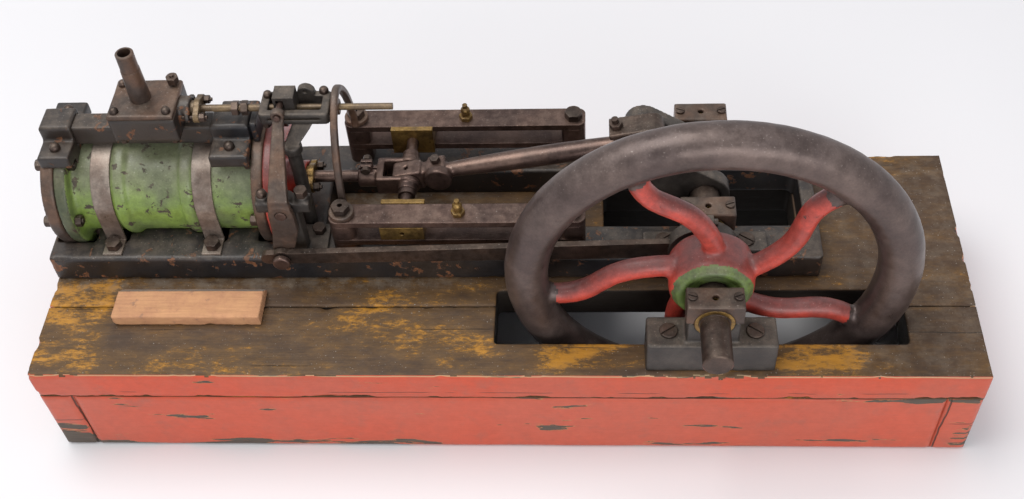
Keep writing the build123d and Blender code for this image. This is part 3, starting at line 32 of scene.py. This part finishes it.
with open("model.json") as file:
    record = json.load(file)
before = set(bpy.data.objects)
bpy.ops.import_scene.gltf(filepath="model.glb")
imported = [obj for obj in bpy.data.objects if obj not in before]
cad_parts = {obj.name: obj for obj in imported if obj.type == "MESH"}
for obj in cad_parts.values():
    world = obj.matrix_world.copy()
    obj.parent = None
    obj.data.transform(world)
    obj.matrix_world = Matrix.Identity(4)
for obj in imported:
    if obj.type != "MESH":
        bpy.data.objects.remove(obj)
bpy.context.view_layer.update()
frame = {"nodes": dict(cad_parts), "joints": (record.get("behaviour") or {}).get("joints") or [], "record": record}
NODES = frame["nodes"]
BODY_OF = {n: b for b, ns in frame["record"]["behaviour"]["bodies"].items() for n in ns}
SLOT_OF = {s["node"]: s["material_slot"] for s in frame["record"]["subparts"]}


# ---- shader building -----------------------------------------------------------------
class Nodes:
    """Short names for the shader nodes that the materials are made of."""

    def __init__(self, name):
        self.mat = bpy.data.materials.new(name)
        self.mat.use_nodes = True
        self.tree = self.mat.node_tree
        self.tree.nodes.clear()
        coords = self.tree.nodes.new("ShaderNodeTexCoord")
        self.at = coords.outputs["Object"]
        self.normal = coords.outputs["Normal"]

    def add(self, kind, **sockets):
        node = self.tree.nodes.new(kind)
        for name, value in sockets.items():
            self.feed(node.inputs[name.replace("_", " ")], value)
        return node

    def feed(self, socket, value):
        if isinstance(value, bpy.types.NodeSocket):
            self.tree.links.new(value, socket)
        elif isinstance(value, tuple) and len(value) == 3 and socket.type == "RGBA":
            socket.default_value = (*value, 1.0)
        else:
            socket.default_value = value

    def math(self, how, a, b=0.0, clamp=False):
        node = self.tree.nodes.new("ShaderNodeMath")
        node.operation = how
        node.use_clamp = clamp
        self.feed(node.inputs[0], a)
        self.feed(node.inputs[1], b)
        return node.outputs[0]

    def step(self, value, low, high):
        """0 below low, 1 above high, smooth in between."""
        node = self.tree.nodes.new("ShaderNodeMapRange")
        node.interpolation_type = "SMOOTHSTEP"
        self.feed(node.inputs["Value"], value)
        self.feed(node.inputs["From Min"], low)
        self.feed(node.inputs["From Max"], high)
        return node.outputs["Result"]

    def mix(self, share, a, b, how="MIX"):
        node = self.tree.nodes.new("ShaderNodeMix")
        node.data_type = "RGBA"
        node.blend_type = how
        self.feed(node.inputs[0], share)
        self.feed(node.inputs[6], a)
        self.feed(node.inputs[7], b)
        return node.outputs[2]

    def blend(self, share, a, b):
        """A number between a and b."""
        node = self.tree.nodes.new("ShaderNodeMix")
        self.feed(node.inputs[0], share)
        self.feed(node.inputs[2], a)
        self.feed(node.inputs[3], b)
        return node.outputs[0]

    def stretched(self, stretch, shift=(0.0, 0.0, 0.0)):
        node = self.tree.nodes.new("ShaderNodeMapping")
        self.feed(node.inputs["Vector"], self.at)
        node.inputs["Scale"].default_value = stretch
        node.inputs["Location"].default_value = shift
        return node.outputs[0]

    def noise(self, size, detail=3.0, at=None, rough=0.55, bend=0.0):
        """Noise from 0 to 1 whose features are about size metres across."""
        node = self.add("ShaderNodeTexNoise", Vector=at or self.at, Scale=1.0 / size,
                        Detail=detail, Roughness=rough, Distortion=bend)
        return node.outputs["Fac"]

    def cells(self, size, at=None):
        node = self.add("ShaderNodeTexVoronoi", Vector=at or self.at, Scale=1.0 / size)
        return node.outputs["Distance"]

    def times(self, colour, shade):
        """A colour made lighter or darker by a number."""
        grey = self.add("ShaderNodeCombineColor", Red=shade, Green=shade, Blue=shade).outputs[0]
        return self.mix(1.0, colour, grey, how="MULTIPLY")

    def any_of(self, *masks):
        found = masks[0]
        for mask in masks[1:]:
            found = self.math("MAXIMUM", found, mask)
        return found

    def part(self, vector, axis):
        node = self.add("ShaderNodeSeparateXYZ", Vector=vector)
        return node.outputs[axis]

    def bump(self, height, depth, normal=None):
        node = self.tree.nodes.new("ShaderNodeBump")
        node.inputs["Strength"].default_value = 1.0
        node.inputs["Distance"].default_value = depth
        self.feed(node.inputs["Height"], height)
        if normal is not None:
            self.feed(node.inputs["Normal"], normal)
        return node.outputs[0]

    def edges(self, radius):
        """(rounded normal, 0 on flats rising towards 1 at sharp edges)."""
        rounded = self.tree.nodes.new("ShaderNodeBevel")
        rounded.samples = 4
        rounded.inputs["Radius"].default_value = radius
        true = self.tree.nodes.new("ShaderNodeNewGeometry").outputs["Normal"]
        dot = self.tree.nodes.new("ShaderNodeVectorMath")
        dot.operation = "DOT_PRODUCT"
        self.feed(dot.inputs[0], rounded.outputs[0])
        self.feed(dot.inputs[1], true)
        return rounded.outputs[0], self.step(dot.outputs["Value"], 0.995, 0.86)

    def line(self, coordinate, place, width, wobble=0.0):
        """1 on a thin line where the coordinate is near place, else 0."""
        off = self.math("SUBTRACT", coordinate, place)
        if wobble:
            sway = self.math("SUBTRACT", self.noise(0.03, 3.0), 0.5)
            off = self.math("ADD", off, self.math("MULTIPLY", sway, wobble))
        return self.step(self.math("ABSOLUTE", off), width, width * 0.4)

    def inside(self, coordinate, low, high, blur):
        """1 between low and high, fading to 0 over blur outside them."""
        return self.math("MULTIPLY", self.step(coordinate, low - blur, low),
                         self.step(coordinate, high + blur, high))

    def surface(self, colour, roughness, metallic=0.0, normal=None, **constants):
        shader = self.add("ShaderNodeBsdfPrincipled", Base_Color=colour, Roughness=roughness,
                          Metallic=metallic)
        for name, value in constants.items():
            shader.inputs[name.replace("_", " ")].default_value = value
        if normal is not None:
            self.feed(shader.inputs["Normal"], normal)
        out = self.tree.nodes.new("ShaderNodeOutputMaterial")
        self.tree.links.new(shader.outputs[0], out.inputs["Surface"])
        return self.mat


DUST = (0.26, 0.200, 0.150)
LINT = (0.42, 0.38, 0.34)


def aged(name, coat, coat2, under, chips=0.35, edge=0.6, chip_size=0.012, rough=0.45, metallic=0.0,
         under_metallic=0.0, under_rough=0.6, dust=0.3, dust_colour=DUST, patch=0.05, grain=0.0012,
         relief=0.00015, edge_radius=0.0009, stretch=(1.0, 1.0, 1.0), spots=0.25, deep=0.5,
         top=None, flecks=0.35):
    """A coat in two tones with chips down to what is under it, worn edges, grime and dust."""
    n = Nodes(name)
    at = n.stretched(stretch)
    normal, edge_mask = n.edges(edge_radius)
    broad = n.step(n.noise(patch, 4.0, at), 0.36, 0.64)
    middle = n.noise(patch * 0.22, 6.0, at, rough=0.68)
    fine = n.noise(grain, 3.0, at)
    colour = n.mix(broad, coat, coat2)
    up = n.step(n.part(n.normal, 2), 0.2, 0.9)
    if top:
        colour = n.mix(n.math("MULTIPLY", up, n.blend(broad, 0.95, 0.55)), colour, top)
    shade = n.math("MULTIPLY", n.blend(middle, 0.35, 1.65), n.blend(fine, 0.75, 1.25))
    colour = n.times(colour, shade)
    chip_noise = n.noise(chip_size, 7.0, at, rough=0.66, bend=0.4)
    reach = n.math("ADD", chip_noise, n.math("MULTIPLY", edge_mask, 0.28 * edge))
    limit = 0.84 - 0.36 * chips
    chipped = n.step(reach, limit - 0.012, limit + 0.012)
    bare = n.mix(n.step(n.noise(chip_size * 0.5, 5.0, at), 0.35, 0.65), under,
                 tuple(c * deep for c in under))
    colour = n.mix(chipped, colour, n.times(bare, n.blend(fine, 0.6, 1.4)))
    speck = n.step(n.cells(0.0042, at), 0.20, 0.08)
    speck = n.math("MULTIPLY", speck, n.step(n.noise(0.015, 3.0), 0.48, 0.64))
    colour = n.mix(n.math("MULTIPLY", speck, spots), colour, tuple(c * 0.3 for c in under))
    cover = n.step(n.noise(0.011, 7.0, rough=0.72), 0.40, 0.66)
    film = n.math("MULTIPLY", n.math("MULTIPLY", up, n.blend(cover, 0.25, 1.0)), dust)
    colour = n.mix(film, colour, n.times(dust_colour, n.blend(fine, 0.6, 1.4)))
    lint = n.math("MULTIPLY", n.step(n.noise(0.0012, 1.0), 0.70, 0.76), up)
    lint = n.math("MULTIPLY", lint, flecks)
    colour = n.mix(lint, colour, LINT)
    film = n.math("MAXIMUM", film, lint)
    gloss = n.math("ADD", n.blend(chipped, rough, under_rough),
                   n.math("MULTIPLY", n.math("SUBTRACT", middle, 0.5), 0.4))
    gloss = n.math("ADD", gloss, n.math("MULTIPLY", film, 0.4), clamp=True)
    height = n.math("ADD", n.math("MULTIPLY", middle, 0.8), n.math("MULTIPLY", fine, 0.3))
    height = n.math("SUBTRACT", height, n.math("MULTIPLY", chipped, 0.9))
    metal = n.blend(chipped, metallic, under_metallic)
    metal = n.math("MULTIPLY", metal, n.math("SUBTRACT", 1.0, film))
    return n.surface(colour, gloss, metal, n.bump(height, relief, normal))


def shade_by(n, fine, middle):
    return n.math("MULTIPLY", n.blend(middle, 0.55, 1.45), n.blend(fine, 0.8, 1.2))


def base_top():
    """Old dark boards with what is left of an ochre coat, thickest where nothing rubbed it."""
    n = Nodes("base_top_wood")
    x, y = n.part(n.at, 0), n.part(n.at, 1)
    at = n.stretched((0.4, 1.0, 1.0))
    long_grain = n.stretched((0.045, 1.0, 1.0))
    broad = n.noise(0.045, 5.0, at, rough=0.6)
    crumbs = n.noise(0.009, 8.0, at, rough=0.75)
    grain = n.noise(0.0016, 4.0, long_grain, rough=0.6)
    left = n.math("MULTIPLY", n.inside(x, -0.31, -0.262, 0.012), n.inside(y, -0.075, -0.012, 0.012))
    slot_edge = n.math("MULTIPLY", n.inside(x, 0.035, 0.215, 0.02), n.inside(y, -0.074, -0.054, 0.004))
    middle_patch = n.math("MULTIPLY", n.inside(x, -0.15, -0.02, 0.05), n.inside(y, -0.06, 0.0, 0.02))
    dark_end = n.math("MAXIMUM", n.step(x, 0.20, 0.24), n.step(y, 0.0, 0.04))
    level = n.math("ADD", n.math("MULTIPLY", broad, 0.52), n.math("MULTIPLY", crumbs, 0.48))
    for mask, lift in ((left, 0.13), (slot_edge, 0.11), (middle_patch, 0.005), (dark_end, -0.02)):
        level = n.math("ADD", level, n.math("MULTIPLY", mask, lift))
    stain = n.step(level, 0.40, 0.58)
    specks = n.math("MULTIPLY", n.math("SUBTRACT", n.noise(0.0022, 4.0, at, rough=0.8), 0.5), 0.34)
    ochre = n.step(n.math("ADD", level, specks), 0.555, 0.665)
    dark = n.mix(n.noise(0.06, 4.0), (0.052, 0.030, 0.018), (0.092, 0.054, 0.031))
    colour = n.mix(n.math("MULTIPLY", stain, 0.8), dark, (0.128, 0.068, 0.023))
    colour = n.mix(n.math("MULTIPLY", ochre, 0.92), colour, (0.420, 0.190, 0.020))
    colour = n.times(colour, shade_by(n, grain, crumbs))
    cracks = n.any_of(
        n.math("MULTIPLY", n.line(y, -0.0278, 0.0005, 0.0012), n.inside(x, -0.31, -0.06, 0.004)),
        n.math("MULTIPLY", n.line(y, -0.048, 0.0004, 0.003), n.inside(x, 0.255, 0.31, 0.004)),
        n.step(n.noise(0.0022, 3.0, n.stretched((0.02, 1.0, 1.0), (7.0, 3.0, 1.0))), 0.70, 0.76))
    colour = n.mix(n.math("MULTIPLY", cracks, 0.8), colour, (0.02, 0.014, 0.010))
    near_bed = n.math("MULTIPLY", n.step(y, -0.020, -0.006), n.step(x, 0.0, -0.06))
    dust = n.math("MULTIPLY", n.step(n.noise(0.012, 7.0, rough=0.75), 0.40, 0.66),
                  n.any_of(n.math("MULTIPLY", near_bed, 0.9),
                           n.math("MULTIPLY", n.step(x, 0.18, 0.23), 0.34), 0.10))
    colour = n.mix(dust, colour, n.times((0.185, 0.145, 0.108), n.blend(crumbs, 0.5, 1.5)))
    lint = n.step(n.noise(0.0012, 1.0), 0.71, 0.76)
    colour = n.mix(n.math("MULTIPLY", lint, 0.6), colour, LINT)
    # Painted shade: the upright faces of the boards (slot, pit and inner walls) are made near-black because they
    # sit in shadow.
    painted_shade_uprights = n.step(n.part(n.normal, 2), 0.6, 0.2)
    colour = n.mix(painted_shade_uprights, colour, n.times((0.026, 0.020, 0.016), n.blend(crumbs, 0.5, 1.5)))
    gloss = n.blend(ochre, 0.55, 0.42)
    gloss = n.math("ADD", gloss, n.math("MULTIPLY", dust, 0.3), clamp=True)
    height = n.math("ADD", n.math("MULTIPLY", grain, 0.5), n.math("MULTIPLY", ochre, 0.35))
    height = n.math("SUBTRACT", height, n.math("MULTIPLY", cracks, 1.2))
    return n.surface(colour, gloss, 0.0, n.bump(height, 0.00035, n.edges(0.001)[0]),
                     Specular_IOR_Level=0.3)


def base_paint():
    """Coral red paint on boards, flaked off in long strips down to grey-brown wood."""
    n = Nodes("base_red_paint")
    x, z = n.part(n.at, 0), n.part(n.at, 2)
    at = n.stretched((0.13, 1.0, 1.0))
    normal, edge_mask = n.edges(0.0012)
    strips = n.noise(0.0085, 6.0, at, rough=0.55, bend=0.3)
    crumbs = n.noise(0.006, 6.0, rough=0.7)
    fine = n.noise(0.0014, 3.0, n.stretched((0.1, 1.0, 1.0)))
    joint = n.inside(z, 0.0575, 0.0605, 0.003)
    top_line = n.step(z, 0.0785, 0.0845)
    foot = n.math("MULTIPLY", n.step(z, 0.016, 0.003), n.blend(n.step(x, -0.03, -0.10), 0.45, 1.0))
    blocks = n.math("MAXIMUM", n.step(x, -0.274, -0.283), n.step(x, 0.281, 0.292))
    corner = n.math("MULTIPLY", blocks, n.step(z, 0.034, 0.022))
    level = strips
    for mask, lift in ((edge_mask, 0.10), (joint, 0.085), (top_line, 0.13), (foot, 0.22), (corner, 0.15)):
        level = n.math("ADD", level, n.math("MULTIPLY", mask, lift))
    level = n.math("ADD", level, n.math("MULTIPLY", n.math("SUBTRACT", crumbs, 0.5), 0.05))
    flaked = n.step(level, 0.676, 0.686)
    rim = n.math("SUBTRACT", n.step(level, 0.664, 0.674), flaked)
    paint = n.mix(n.step(n.noise(0.07, 4.0), 0.38, 0.62), (0.52, 0.072, 0.030), (0.46, 0.086, 0.046))
    lower = n.step(z, 0.064, 0.054)
    paint = n.mix(n.math("MULTIPLY", lower, 0.45), paint, (0.49, 0.100, 0.058))
    paint = n.times(paint, n.math("MULTIPLY", n.blend(crumbs, 0.80, 1.18), n.blend(fine, 0.93, 1.07)))
    wood = n.mix(n.noise(0.004, 5.0, at), (0.12, 0.092, 0.068), (0.065, 0.056, 0.050))
    colour = n.mix(flaked, paint, n.times(wood, n.blend(fine, 0.6, 1.4)))
    colour = n.mix(n.math("MULTIPLY", rim, 0.75), colour, (0.36, 0.22, 0.09))
    seams = n.any_of(
        n.math("MULTIPLY", n.line(z, 0.0589, 0.0007, 0.0010), n.step(n.noise(0.03, 3.0), 0.36, 0.46)),
        n.math("MULTIPLY", n.line(z, 0.0655, 0.0003, 0.0020), n.step(n.noise(0.05, 3.0), 0.50, 0.56)),
        n.math("MULTIPLY", n.math("MAXIMUM", n.line(x, -0.2785, 0.0006, 0.004),
                                  n.line(x, 0.2800, 0.0006, 0.005)), n.step(z, 0.0595, 0.0585)),
        n.math("MULTIPLY", n.line(z, 0.031, 0.0005, 0.002), blocks))
    colour = n.mix(n.math("MULTIPLY", seams, 0.85), colour, (0.035, 0.026, 0.020))
    edge_top = n.math("MULTIPLY", n.line(z, 0.0830, 0.0006, 0.0012), 0.75)
    colour = n.mix(edge_top, colour, (0.45, 0.32, 0.17))
    stain = n.math("MULTIPLY", n.step(n.noise(0.02, 6.0, rough=0.7), 0.50, 0.75), 0.35)
    colour = n.mix(stain, colour, (0.20, 0.10, 0.075))
    gloss = n.blend(flaked, 0.42, 0.75)
    height = n.math("ADD", n.math("MULTIPLY", fine, 0.12), n.math("MULTIPLY", crumbs, 0.25))
    height = n.math("SUBTRACT", height, n.math("MULTIPLY", n.math("MAXIMUM", flaked, seams), 1.0))
    return n.surface(colour, gloss, 0.0, n.bump(height, 0.0005, normal), Specular_IOR_Level=0.35)


def raw_wood():
    """Bare pinkish wood with dust and lint on its back bevel."""
    n = Nodes("raw_wood")
    normal, edge_mask = n.edges(0.0012)
    grain = n.noise(0.0017, 5.0, n.stretched((0.06, 1.0, 1.0)), rough=0.6)
    blotch = n.noise(0.012, 6.0, rough=0.7)
    colour = n.mix(n.step(blotch, 0.3, 0.7), (0.62, 0.325, 0.160), (0.46, 0.225, 0.120))
    colour = n.times(colour, n.math("MULTIPLY", n.blend(grain, 0.72, 1.25), n.blend(blotch, 0.8, 1.15)))
    colour = n.mix(n.math("MULTIPLY", edge_mask, 0.55), colour, (0.20, 0.125, 0.085))
    back = n.step(n.part(n.normal, 1), 0.25, 0.6)
    dust = n.math("MULTIPLY", back, n.blend(n.step(blotch, 0.35, 0.6), 0.6, 1.0))
    colour = n.mix(dust, colour, n.times((0.23, 0.19, 0.16), n.blend(n.noise(0.0012, 2.0), 0.5, 1.6)))
    stain = n.step(n.noise(0.006, 4.0), 0.62, 0.70)
    colour = n.mix(n.math("MULTIPLY", stain, 0.6), colour, (0.25, 0.15, 0.10))
    return n.surface(colour, 0.78, 0.0, n.bump(n.math("ADD", grain, blotch), 0.0004, normal))


METAL = dict(metallic=0.8, under_metallic=0.3, under_rough=0.7)
MATERIALS = {
    "black_paint": aged("black_paint", (0.011, 0.011, 0.013), (0.030, 0.021, 0.016), (0.20, 0.080, 0.034),
                        chips=0.66, edge=1.4, rough=0.40, dust=0.26, patch=0.06, chip_size=0.010),
    "green_paint": aged("green_paint", (0.170, 0.250, 0.050), (0.110, 0.140, 0.060), (0.100, 0.075, 0.050),
                        chips=0.68, edge=0.6, rough=0.34, dust=0.28, dust_colour=(0.20, 0.19, 0.13),
                        patch=0.03, chip_size=0.009, top=(0.165, 0.170, 0.110)),
    "red_paint": aged("red_paint", (0.47, 0.056, 0.036), (0.30, 0.046, 0.034), (0.085, 0.066, 0.058),
                      chips=0.42, edge=0.5, rough=0.34, dust=0.25, dust_colour=(0.10, 0.075, 0.07),
                      patch=0.02, chip_size=0.010, top=(0.15, 0.055, 0.050)),
    "aged_brown_iron": aged("aged_brown_iron", (0.120, 0.066, 0.042), (0.058, 0.040, 0.032),
                            (0.030, 0.024, 0.021), chips=0.36, edge=0.5, rough=0.42, metallic=0.35,
                            dust=0.30, patch=0.02),
    "grey_iron": aged("grey_iron", (0.060, 0.051, 0.044), (0.036, 0.031, 0.028), (0.105, 0.070, 0.045),
                      chips=0.36, edge=0.6, rough=0.42, metallic=0.4, dust=0.42, patch=0.02),
    "worn_steel": aged("worn_steel", (0.150, 0.094, 0.075), (0.088, 0.056, 0.048), (0.055, 0.032, 0.025),
                       chips=0.32, edge=0.3, rough=0.34, dust=0.16, patch=0.025, **METAL),
    "dark_steel": aged("dark_steel", (0.098, 0.066, 0.052), (0.052, 0.038, 0.032), (0.16, 0.095, 0.06),
                       chips=0.3, edge=0.7, rough=0.40, dust=0.25, patch=0.02, edge_radius=0.0006, **METAL),
    "brass": aged("brass", (0.30, 0.185, 0.055), (0.145, 0.088, 0.032), (0.055, 0.036, 0.022),
                  chips=0.36, edge=0.2, rough=0.34, dust=0.14, patch=0.012, **METAL),
    "base_red_paint": base_paint(),
    "base_top_wood": base_top(),
    "raw_wood": raw_wood(),
}
RIM_STEEL = aged("rim_steel", (0.128, 0.092, 0.080), (0.078, 0.055, 0.050), (0.050, 0.033, 0.027),
                 chips=0.30, edge=0.3, rough=0.36, dust=0.20, dust_colour=(0.17, 0.145, 0.14), patch=0.05,
                 metallic=0.55, under_metallic=0.3, chip_size=0.008)
HUB_GREEN = aged("hub_green", (0.13, 0.19, 0.045), (0.09, 0.12, 0.05), (0.13, 0.075, 0.04), chips=0.5,
                 edge=0.9, rough=0.42, dust=0.3, patch=0.012, chip_size=0.006)
STRAP_STEEL = aged("strap_steel", (0.30, 0.25, 0.21), (0.17, 0.125, 0.10), (0.085, 0.055, 0.04),
                   chips=0.36, edge=0.5, rough=0.34, dust=0.2, patch=0.02, metallic=0.5,
                   under_metallic=0.2)
DULL_BRASS = aged("dull_brass", (0.170, 0.115, 0.058), (0.105, 0.070, 0.040), (0.060, 0.040, 0.028),
                  chips=0.4, edge=0.2, rough=0.38, dust=0.3, patch=0.008, metallic=0.5,
                  under_metallic=0.3)
FLANGE_GREEN = aged("flange_green", (0.050, 0.062, 0.030), (0.075, 0.085, 0.040), (0.085, 0.055, 0.038),
                    chips=0.6, edge=0.9, rough=0.42, dust=0.3, patch=0.012, chip_size=0.006)
OWN_LOOK = {"cylinder_straps": STRAP_STEEL, "passage_brackets": MATERIALS["black_paint"],
            "valve_spindle": DULL_BRASS, "tail_rod": DULL_BRASS, "valve_gland": DULL_BRASS}
for node, slot in SLOT_OF.items():
    mesh = NODES[node].data
    mesh.materials.clear()
    mesh.materials.append(OWN_LOOK.get(node, MATERIALS[slot]))


# ---- worn shapes in place of the crisp CAD ones ---------------------------------------
def rebuilt(node, voxel, rounds=2, ripple=0.00012, size=0.02, shape=None):
    """A worn copy of a CAD node: even mesh, eased edges and a slightly uneven surface."""
    source = NODES[node]
    worn = bpy.data.objects.new(node + "_worn", source.data.copy())
    bpy.context.scene.collection.objects.link(worn)
    remesh = worn.modifiers.new("remesh", "REMESH")
    remesh.mode = "VOXEL"
    remesh.voxel_size = voxel
    ease = worn.modifiers.new("ease", "SMOOTH")
    ease.factor = 0.5
    ease.iterations = rounds
    graph = bpy.context.evaluated_depsgraph_get()
    mesh = bpy.data.meshes.new_from_object(worn.evaluated_get(graph))
    worn.modifiers.clear()
    worn.data = mesh
    points = [vertex.co.copy() for vertex in mesh.vertices]
    normals = [vertex.normal.copy() for vertex in mesh.vertices]
    for p, normal in zip(points, normals):
        p += normal * (ripple * (noise.noise(p / size) + 0.5 * noise.noise(p / (size * 0.3))))
        if shape:
            shape(p)
    mesh.vertices.foreach_set("co", [c for p in points for c in p])
    mesh.update()
    mesh.shade_smooth()
    mesh.materials.clear()
    mesh.materials.append(OWN_LOOK.get(node, MATERIALS[SLOT_OF[node]]))
    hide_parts(node)
    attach(worn, BODY_OF[node])
    return worn


def paint_faces(piece, materials, choose):
    """Gives each face the material that choose(centre, normal) names by number."""
    for material in materials:
        piece.data.materials.append(material)
    for face in piece.data.polygons:
        face.material_index = choose(face.center, face.normal)


def chip_edges(lo, hi, reach, depth, seed):
    """Breaks small chips out of the edges of a board that fills the box from lo to hi."""
    shift = Vector((seed * 3.7, seed * 1.3, 0.0))

    def shape(p):
        near = sorted((abs(p[a] - side[a]), a, 1 if side is lo else -1)
                      for a in range(3) for side in (lo, hi))
        edge = 1.0 - (near[0][0] + near[1][0]) / reach
        if edge <= 0.0:
            return
        broken = noise.noise(Vector((p.x / 0.022, p.y / 0.012, p.z / 0.012)) + shift)
        broken += 0.5 * noise.noise(Vector((p.x / 0.006, p.y / 0.004, p.z / 0.004)) + shift)
        amount = depth * edge * (0.18 + max(0.0, broken - 0.12) * 1.9)
        for _, axis, inward in near[:2]:
            p[axis] += inward * amount
    return shape


SKIN = 0.004
UPRIGHT = 0.6
BASE_LOW, BASE_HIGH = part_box("base_top_front")[0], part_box("base_top_back")[1]


def outer_face(centre, normal):
    """1 on the upright faces round the outside of the base, which are painted, else 0."""
    depth = min(centre.x - BASE_LOW.x, BASE_HIGH.x - centre.x,
                centre.y - BASE_LOW.y, BASE_HIGH.y - centre.y)
    return 1 if normal.z < UPRIGHT and depth < SKIN else 0


for node, seed in (("base_top_front", 1), ("base_top_back", 2)):
    low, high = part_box(node)
    board = rebuilt(node, 0.0014, 1, 0.0002, 0.05, chip_edges(low, high, 0.004, 0.0012, seed))
    paint_faces(board, [MATERIALS["base_red_paint"]], outer_face)
for node in ("base_long_planks", "base_end_planks"):
    plank = rebuilt(node, 0.0020, 1, 0.0002, 0.05)
    plank.data.materials.clear()
    plank.data.materials.append(MATERIALS["base_top_wood"])
    paint_faces(plank, [MATERIALS["base_red_paint"]], outer_face)
low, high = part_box("wood_cleat")
rebuilt("wood_cleat", 0.0008, 1, 0.0002, 0.012, chip_edges(low, high, 0.003, 0.0010, 3))
low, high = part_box("bedplate")
rebuilt("bedplate", 0.0012, 1, 0.00015, 0.03, chip_edges(low, high, 0.003, 0.0008, 4))

AXIS = Vector(next(j["pos_m"] for j in frame["joints"] if j["name"] == "crank_turn"))
WHEEL_RADIUS = (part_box("flywheel")[1].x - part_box("flywheel")[0].x) / 2
HUB_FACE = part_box("flywheel")[0].y
RIM_SECTION = 0.0135
RIM_FILLET = 0.0035
RING_RADIUS = 0.0225
RING_BLEND = 0.002
RING_BACK = 0.0065
RAGGED = 0.004
RAGGED_SIZE = 0.009


def wheel_choice(centre, _normal):
    """Rim 1, the hub's raised ring 2, spokes and hub 0."""
    out = math.hypot(centre.x - AXIS.x, centre.z - AXIS.z)
    ragged = RAGGED * noise.noise(centre / RAGGED_SIZE)
    if out > WHEEL_RADIUS - 2 * RIM_SECTION - RIM_FILLET + ragged:
        return 1
    if out < RING_RADIUS + RING_BLEND and centre.y < HUB_FACE + RING_BACK + ragged:
        return 2
    return 0


wheel = rebuilt("flywheel", 0.0013, 10, 0.0003, 0.02)
paint_faces(wheel, [RIM_STEEL, HUB_GREEN], wheel_choice)

FLANGE = 0.0075
BARREL_ENDS = [corner.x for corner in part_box("cylinder_barrel")]


def barrel_choice(centre, _normal):
    """Front flange 1, rear flange 2, the rest 0."""
    if centre.x > BARREL_ENDS[1] - FLANGE:
        return 1
    return 2 if centre.x < BARREL_ENDS[0] + FLANGE else 0


barrel = rebuilt("cylinder_barrel", 0.0013, 2, 0.0002)
paint_faces(barrel, [MATERIALS["aged_brown_iron"], FLANGE_GREEN], barrel_choice)
for node, voxel, rounds, ripple in (
        ("rear_cover", 0.0011, 2, 0.0002),
        ("front_cover", 0.0009, 1, 0.0001), ("steam_passage_bar", 0.0009, 1, 0.0002),
        ("passage_brackets", 0.0008, 2, 0.0003), ("steam_chest", 0.0008, 1, 0.00005),
        ("chest_cover", 0.0008, 1, 0.0003), ("valve_guide_frame", 0.0006, 2, 0.0002),
        ("guide_standard", 0.0006, 2, 0.0001), ("arch_bracket", 0.0006, 2, 0.0002),
        ("rocker_lever", 0.0006, 2, 0.0002), ("rocker_bearing", 0.0008, 1, 0.0002),
        ("outboard_pedestal", 0.0010, 1, 0.0002), ("bed_pedestals", 0.0010, 1, 0.0002),
        ("bearing_caps", 0.0007, 1, 0.0001), ("crank_webs", 0.0009, 2, 0.0002),
        ("connecting_rod", 0.0008, 2, 0.0001), ("crosshead", 0.0006, 1, 0.0001),
        ("big_end_strap", 0.0007, 1, 0.0001)):
    rebuilt(node, voxel, rounds, ripple)


# ---- floor, light and camera ---------------------------------------------------------
def make_floor():
    bpy.ops.mesh.primitive_plane_add(size=8.0, location=(0, 0, 0))
    floor = bpy.context.object
    floor.name = "floor"
    n = Nodes("floor_paper")
    grain = n.noise(0.002, 2.0)
    colour = n.mix(n.noise(0.3, 2.0), (0.78, 0.77, 0.785), (0.81, 0.80, 0.81))
    floor.data.materials.append(n.surface(colour, 0.8, normal=n.bump(grain, 0.00002)))


def area_light(name, place, target, size, watts, colour):
    lamp = bpy.data.lights.new(name, "AREA")
    lamp.shape = "RECTANGLE"
    lamp.size, lamp.size_y = size
    lamp.energy = watts
    lamp.color = colour
    holder = bpy.data.objects.new(name, lamp)
    bpy.context.scene.collection.objects.link(holder)
    holder.location = place
    holder.rotation_euler = (Vector(target) - Vector(place)).to_track_quat("-Z", "Y").to_euler()


def make_light():
    world = bpy.data.worlds.new("studio")
    bpy.context.scene.world = world
    world.use_nodes = True
    world.node_tree.nodes["Background"].inputs["Color"].default_value = (0.93, 0.95, 1.0, 1.0)
    world.node_tree.nodes["Background"].inputs["Strength"].default_value = 0.62
    area_light("key", (-0.55, 0.10, 1.75), (0.0, 0.0, 0.1), (1.3, 1.0), 22.0, (1.0, 0.985, 0.96))
    area_light("front", (0.5, -1.8, 0.75), (0.0, 0.0, 0.08), (1.6, 0.9), 17.0, (1.0, 0.98, 0.97))
    view = bpy.context.scene.view_settings
    view.view_transform = "Standard"
    view.look = "None"


CAMERA_AT = Vector((0.05794, -0.51861, 0.7367))
CAMERA_YAW, CAMERA_PITCH, CAMERA_ROLL = (math.radians(a) for a in (-5.65, 50.34, 4.58))
CAMERA_LENS = 44.588
SENSOR = 36.0


def make_camera():
    ahead = Vector((math.sin(CAMERA_YAW) * math.cos(CAMERA_PITCH),
                    math.cos(CAMERA_YAW) * math.cos(CAMERA_PITCH), -math.sin(CAMERA_PITCH)))
    right = Vector((math.cos(CAMERA_YAW), -math.sin(CAMERA_YAW), 0.0))
    down = ahead.cross(right)
    c, s = math.cos(CAMERA_ROLL), math.sin(CAMERA_ROLL)
    x = c * right + s * down
    y = s * right - c * down
    data = bpy.data.cameras.new("camera")
    data.lens = CAMERA_LENS
    data.sensor_width = SENSOR
    data.clip_start, data.clip_end = 0.01, 20.0
    camera = bpy.data.objects.new("camera", data)
    bpy.context.scene.collection.objects.link(camera)
    turn = Matrix((x, y, -ahead)).transposed().to_4x4()
    camera.matrix_world = Matrix.Translation(CAMERA_AT) @ turn
    bpy.context.scene.camera = camera


make_floor()
make_light()
make_camera()
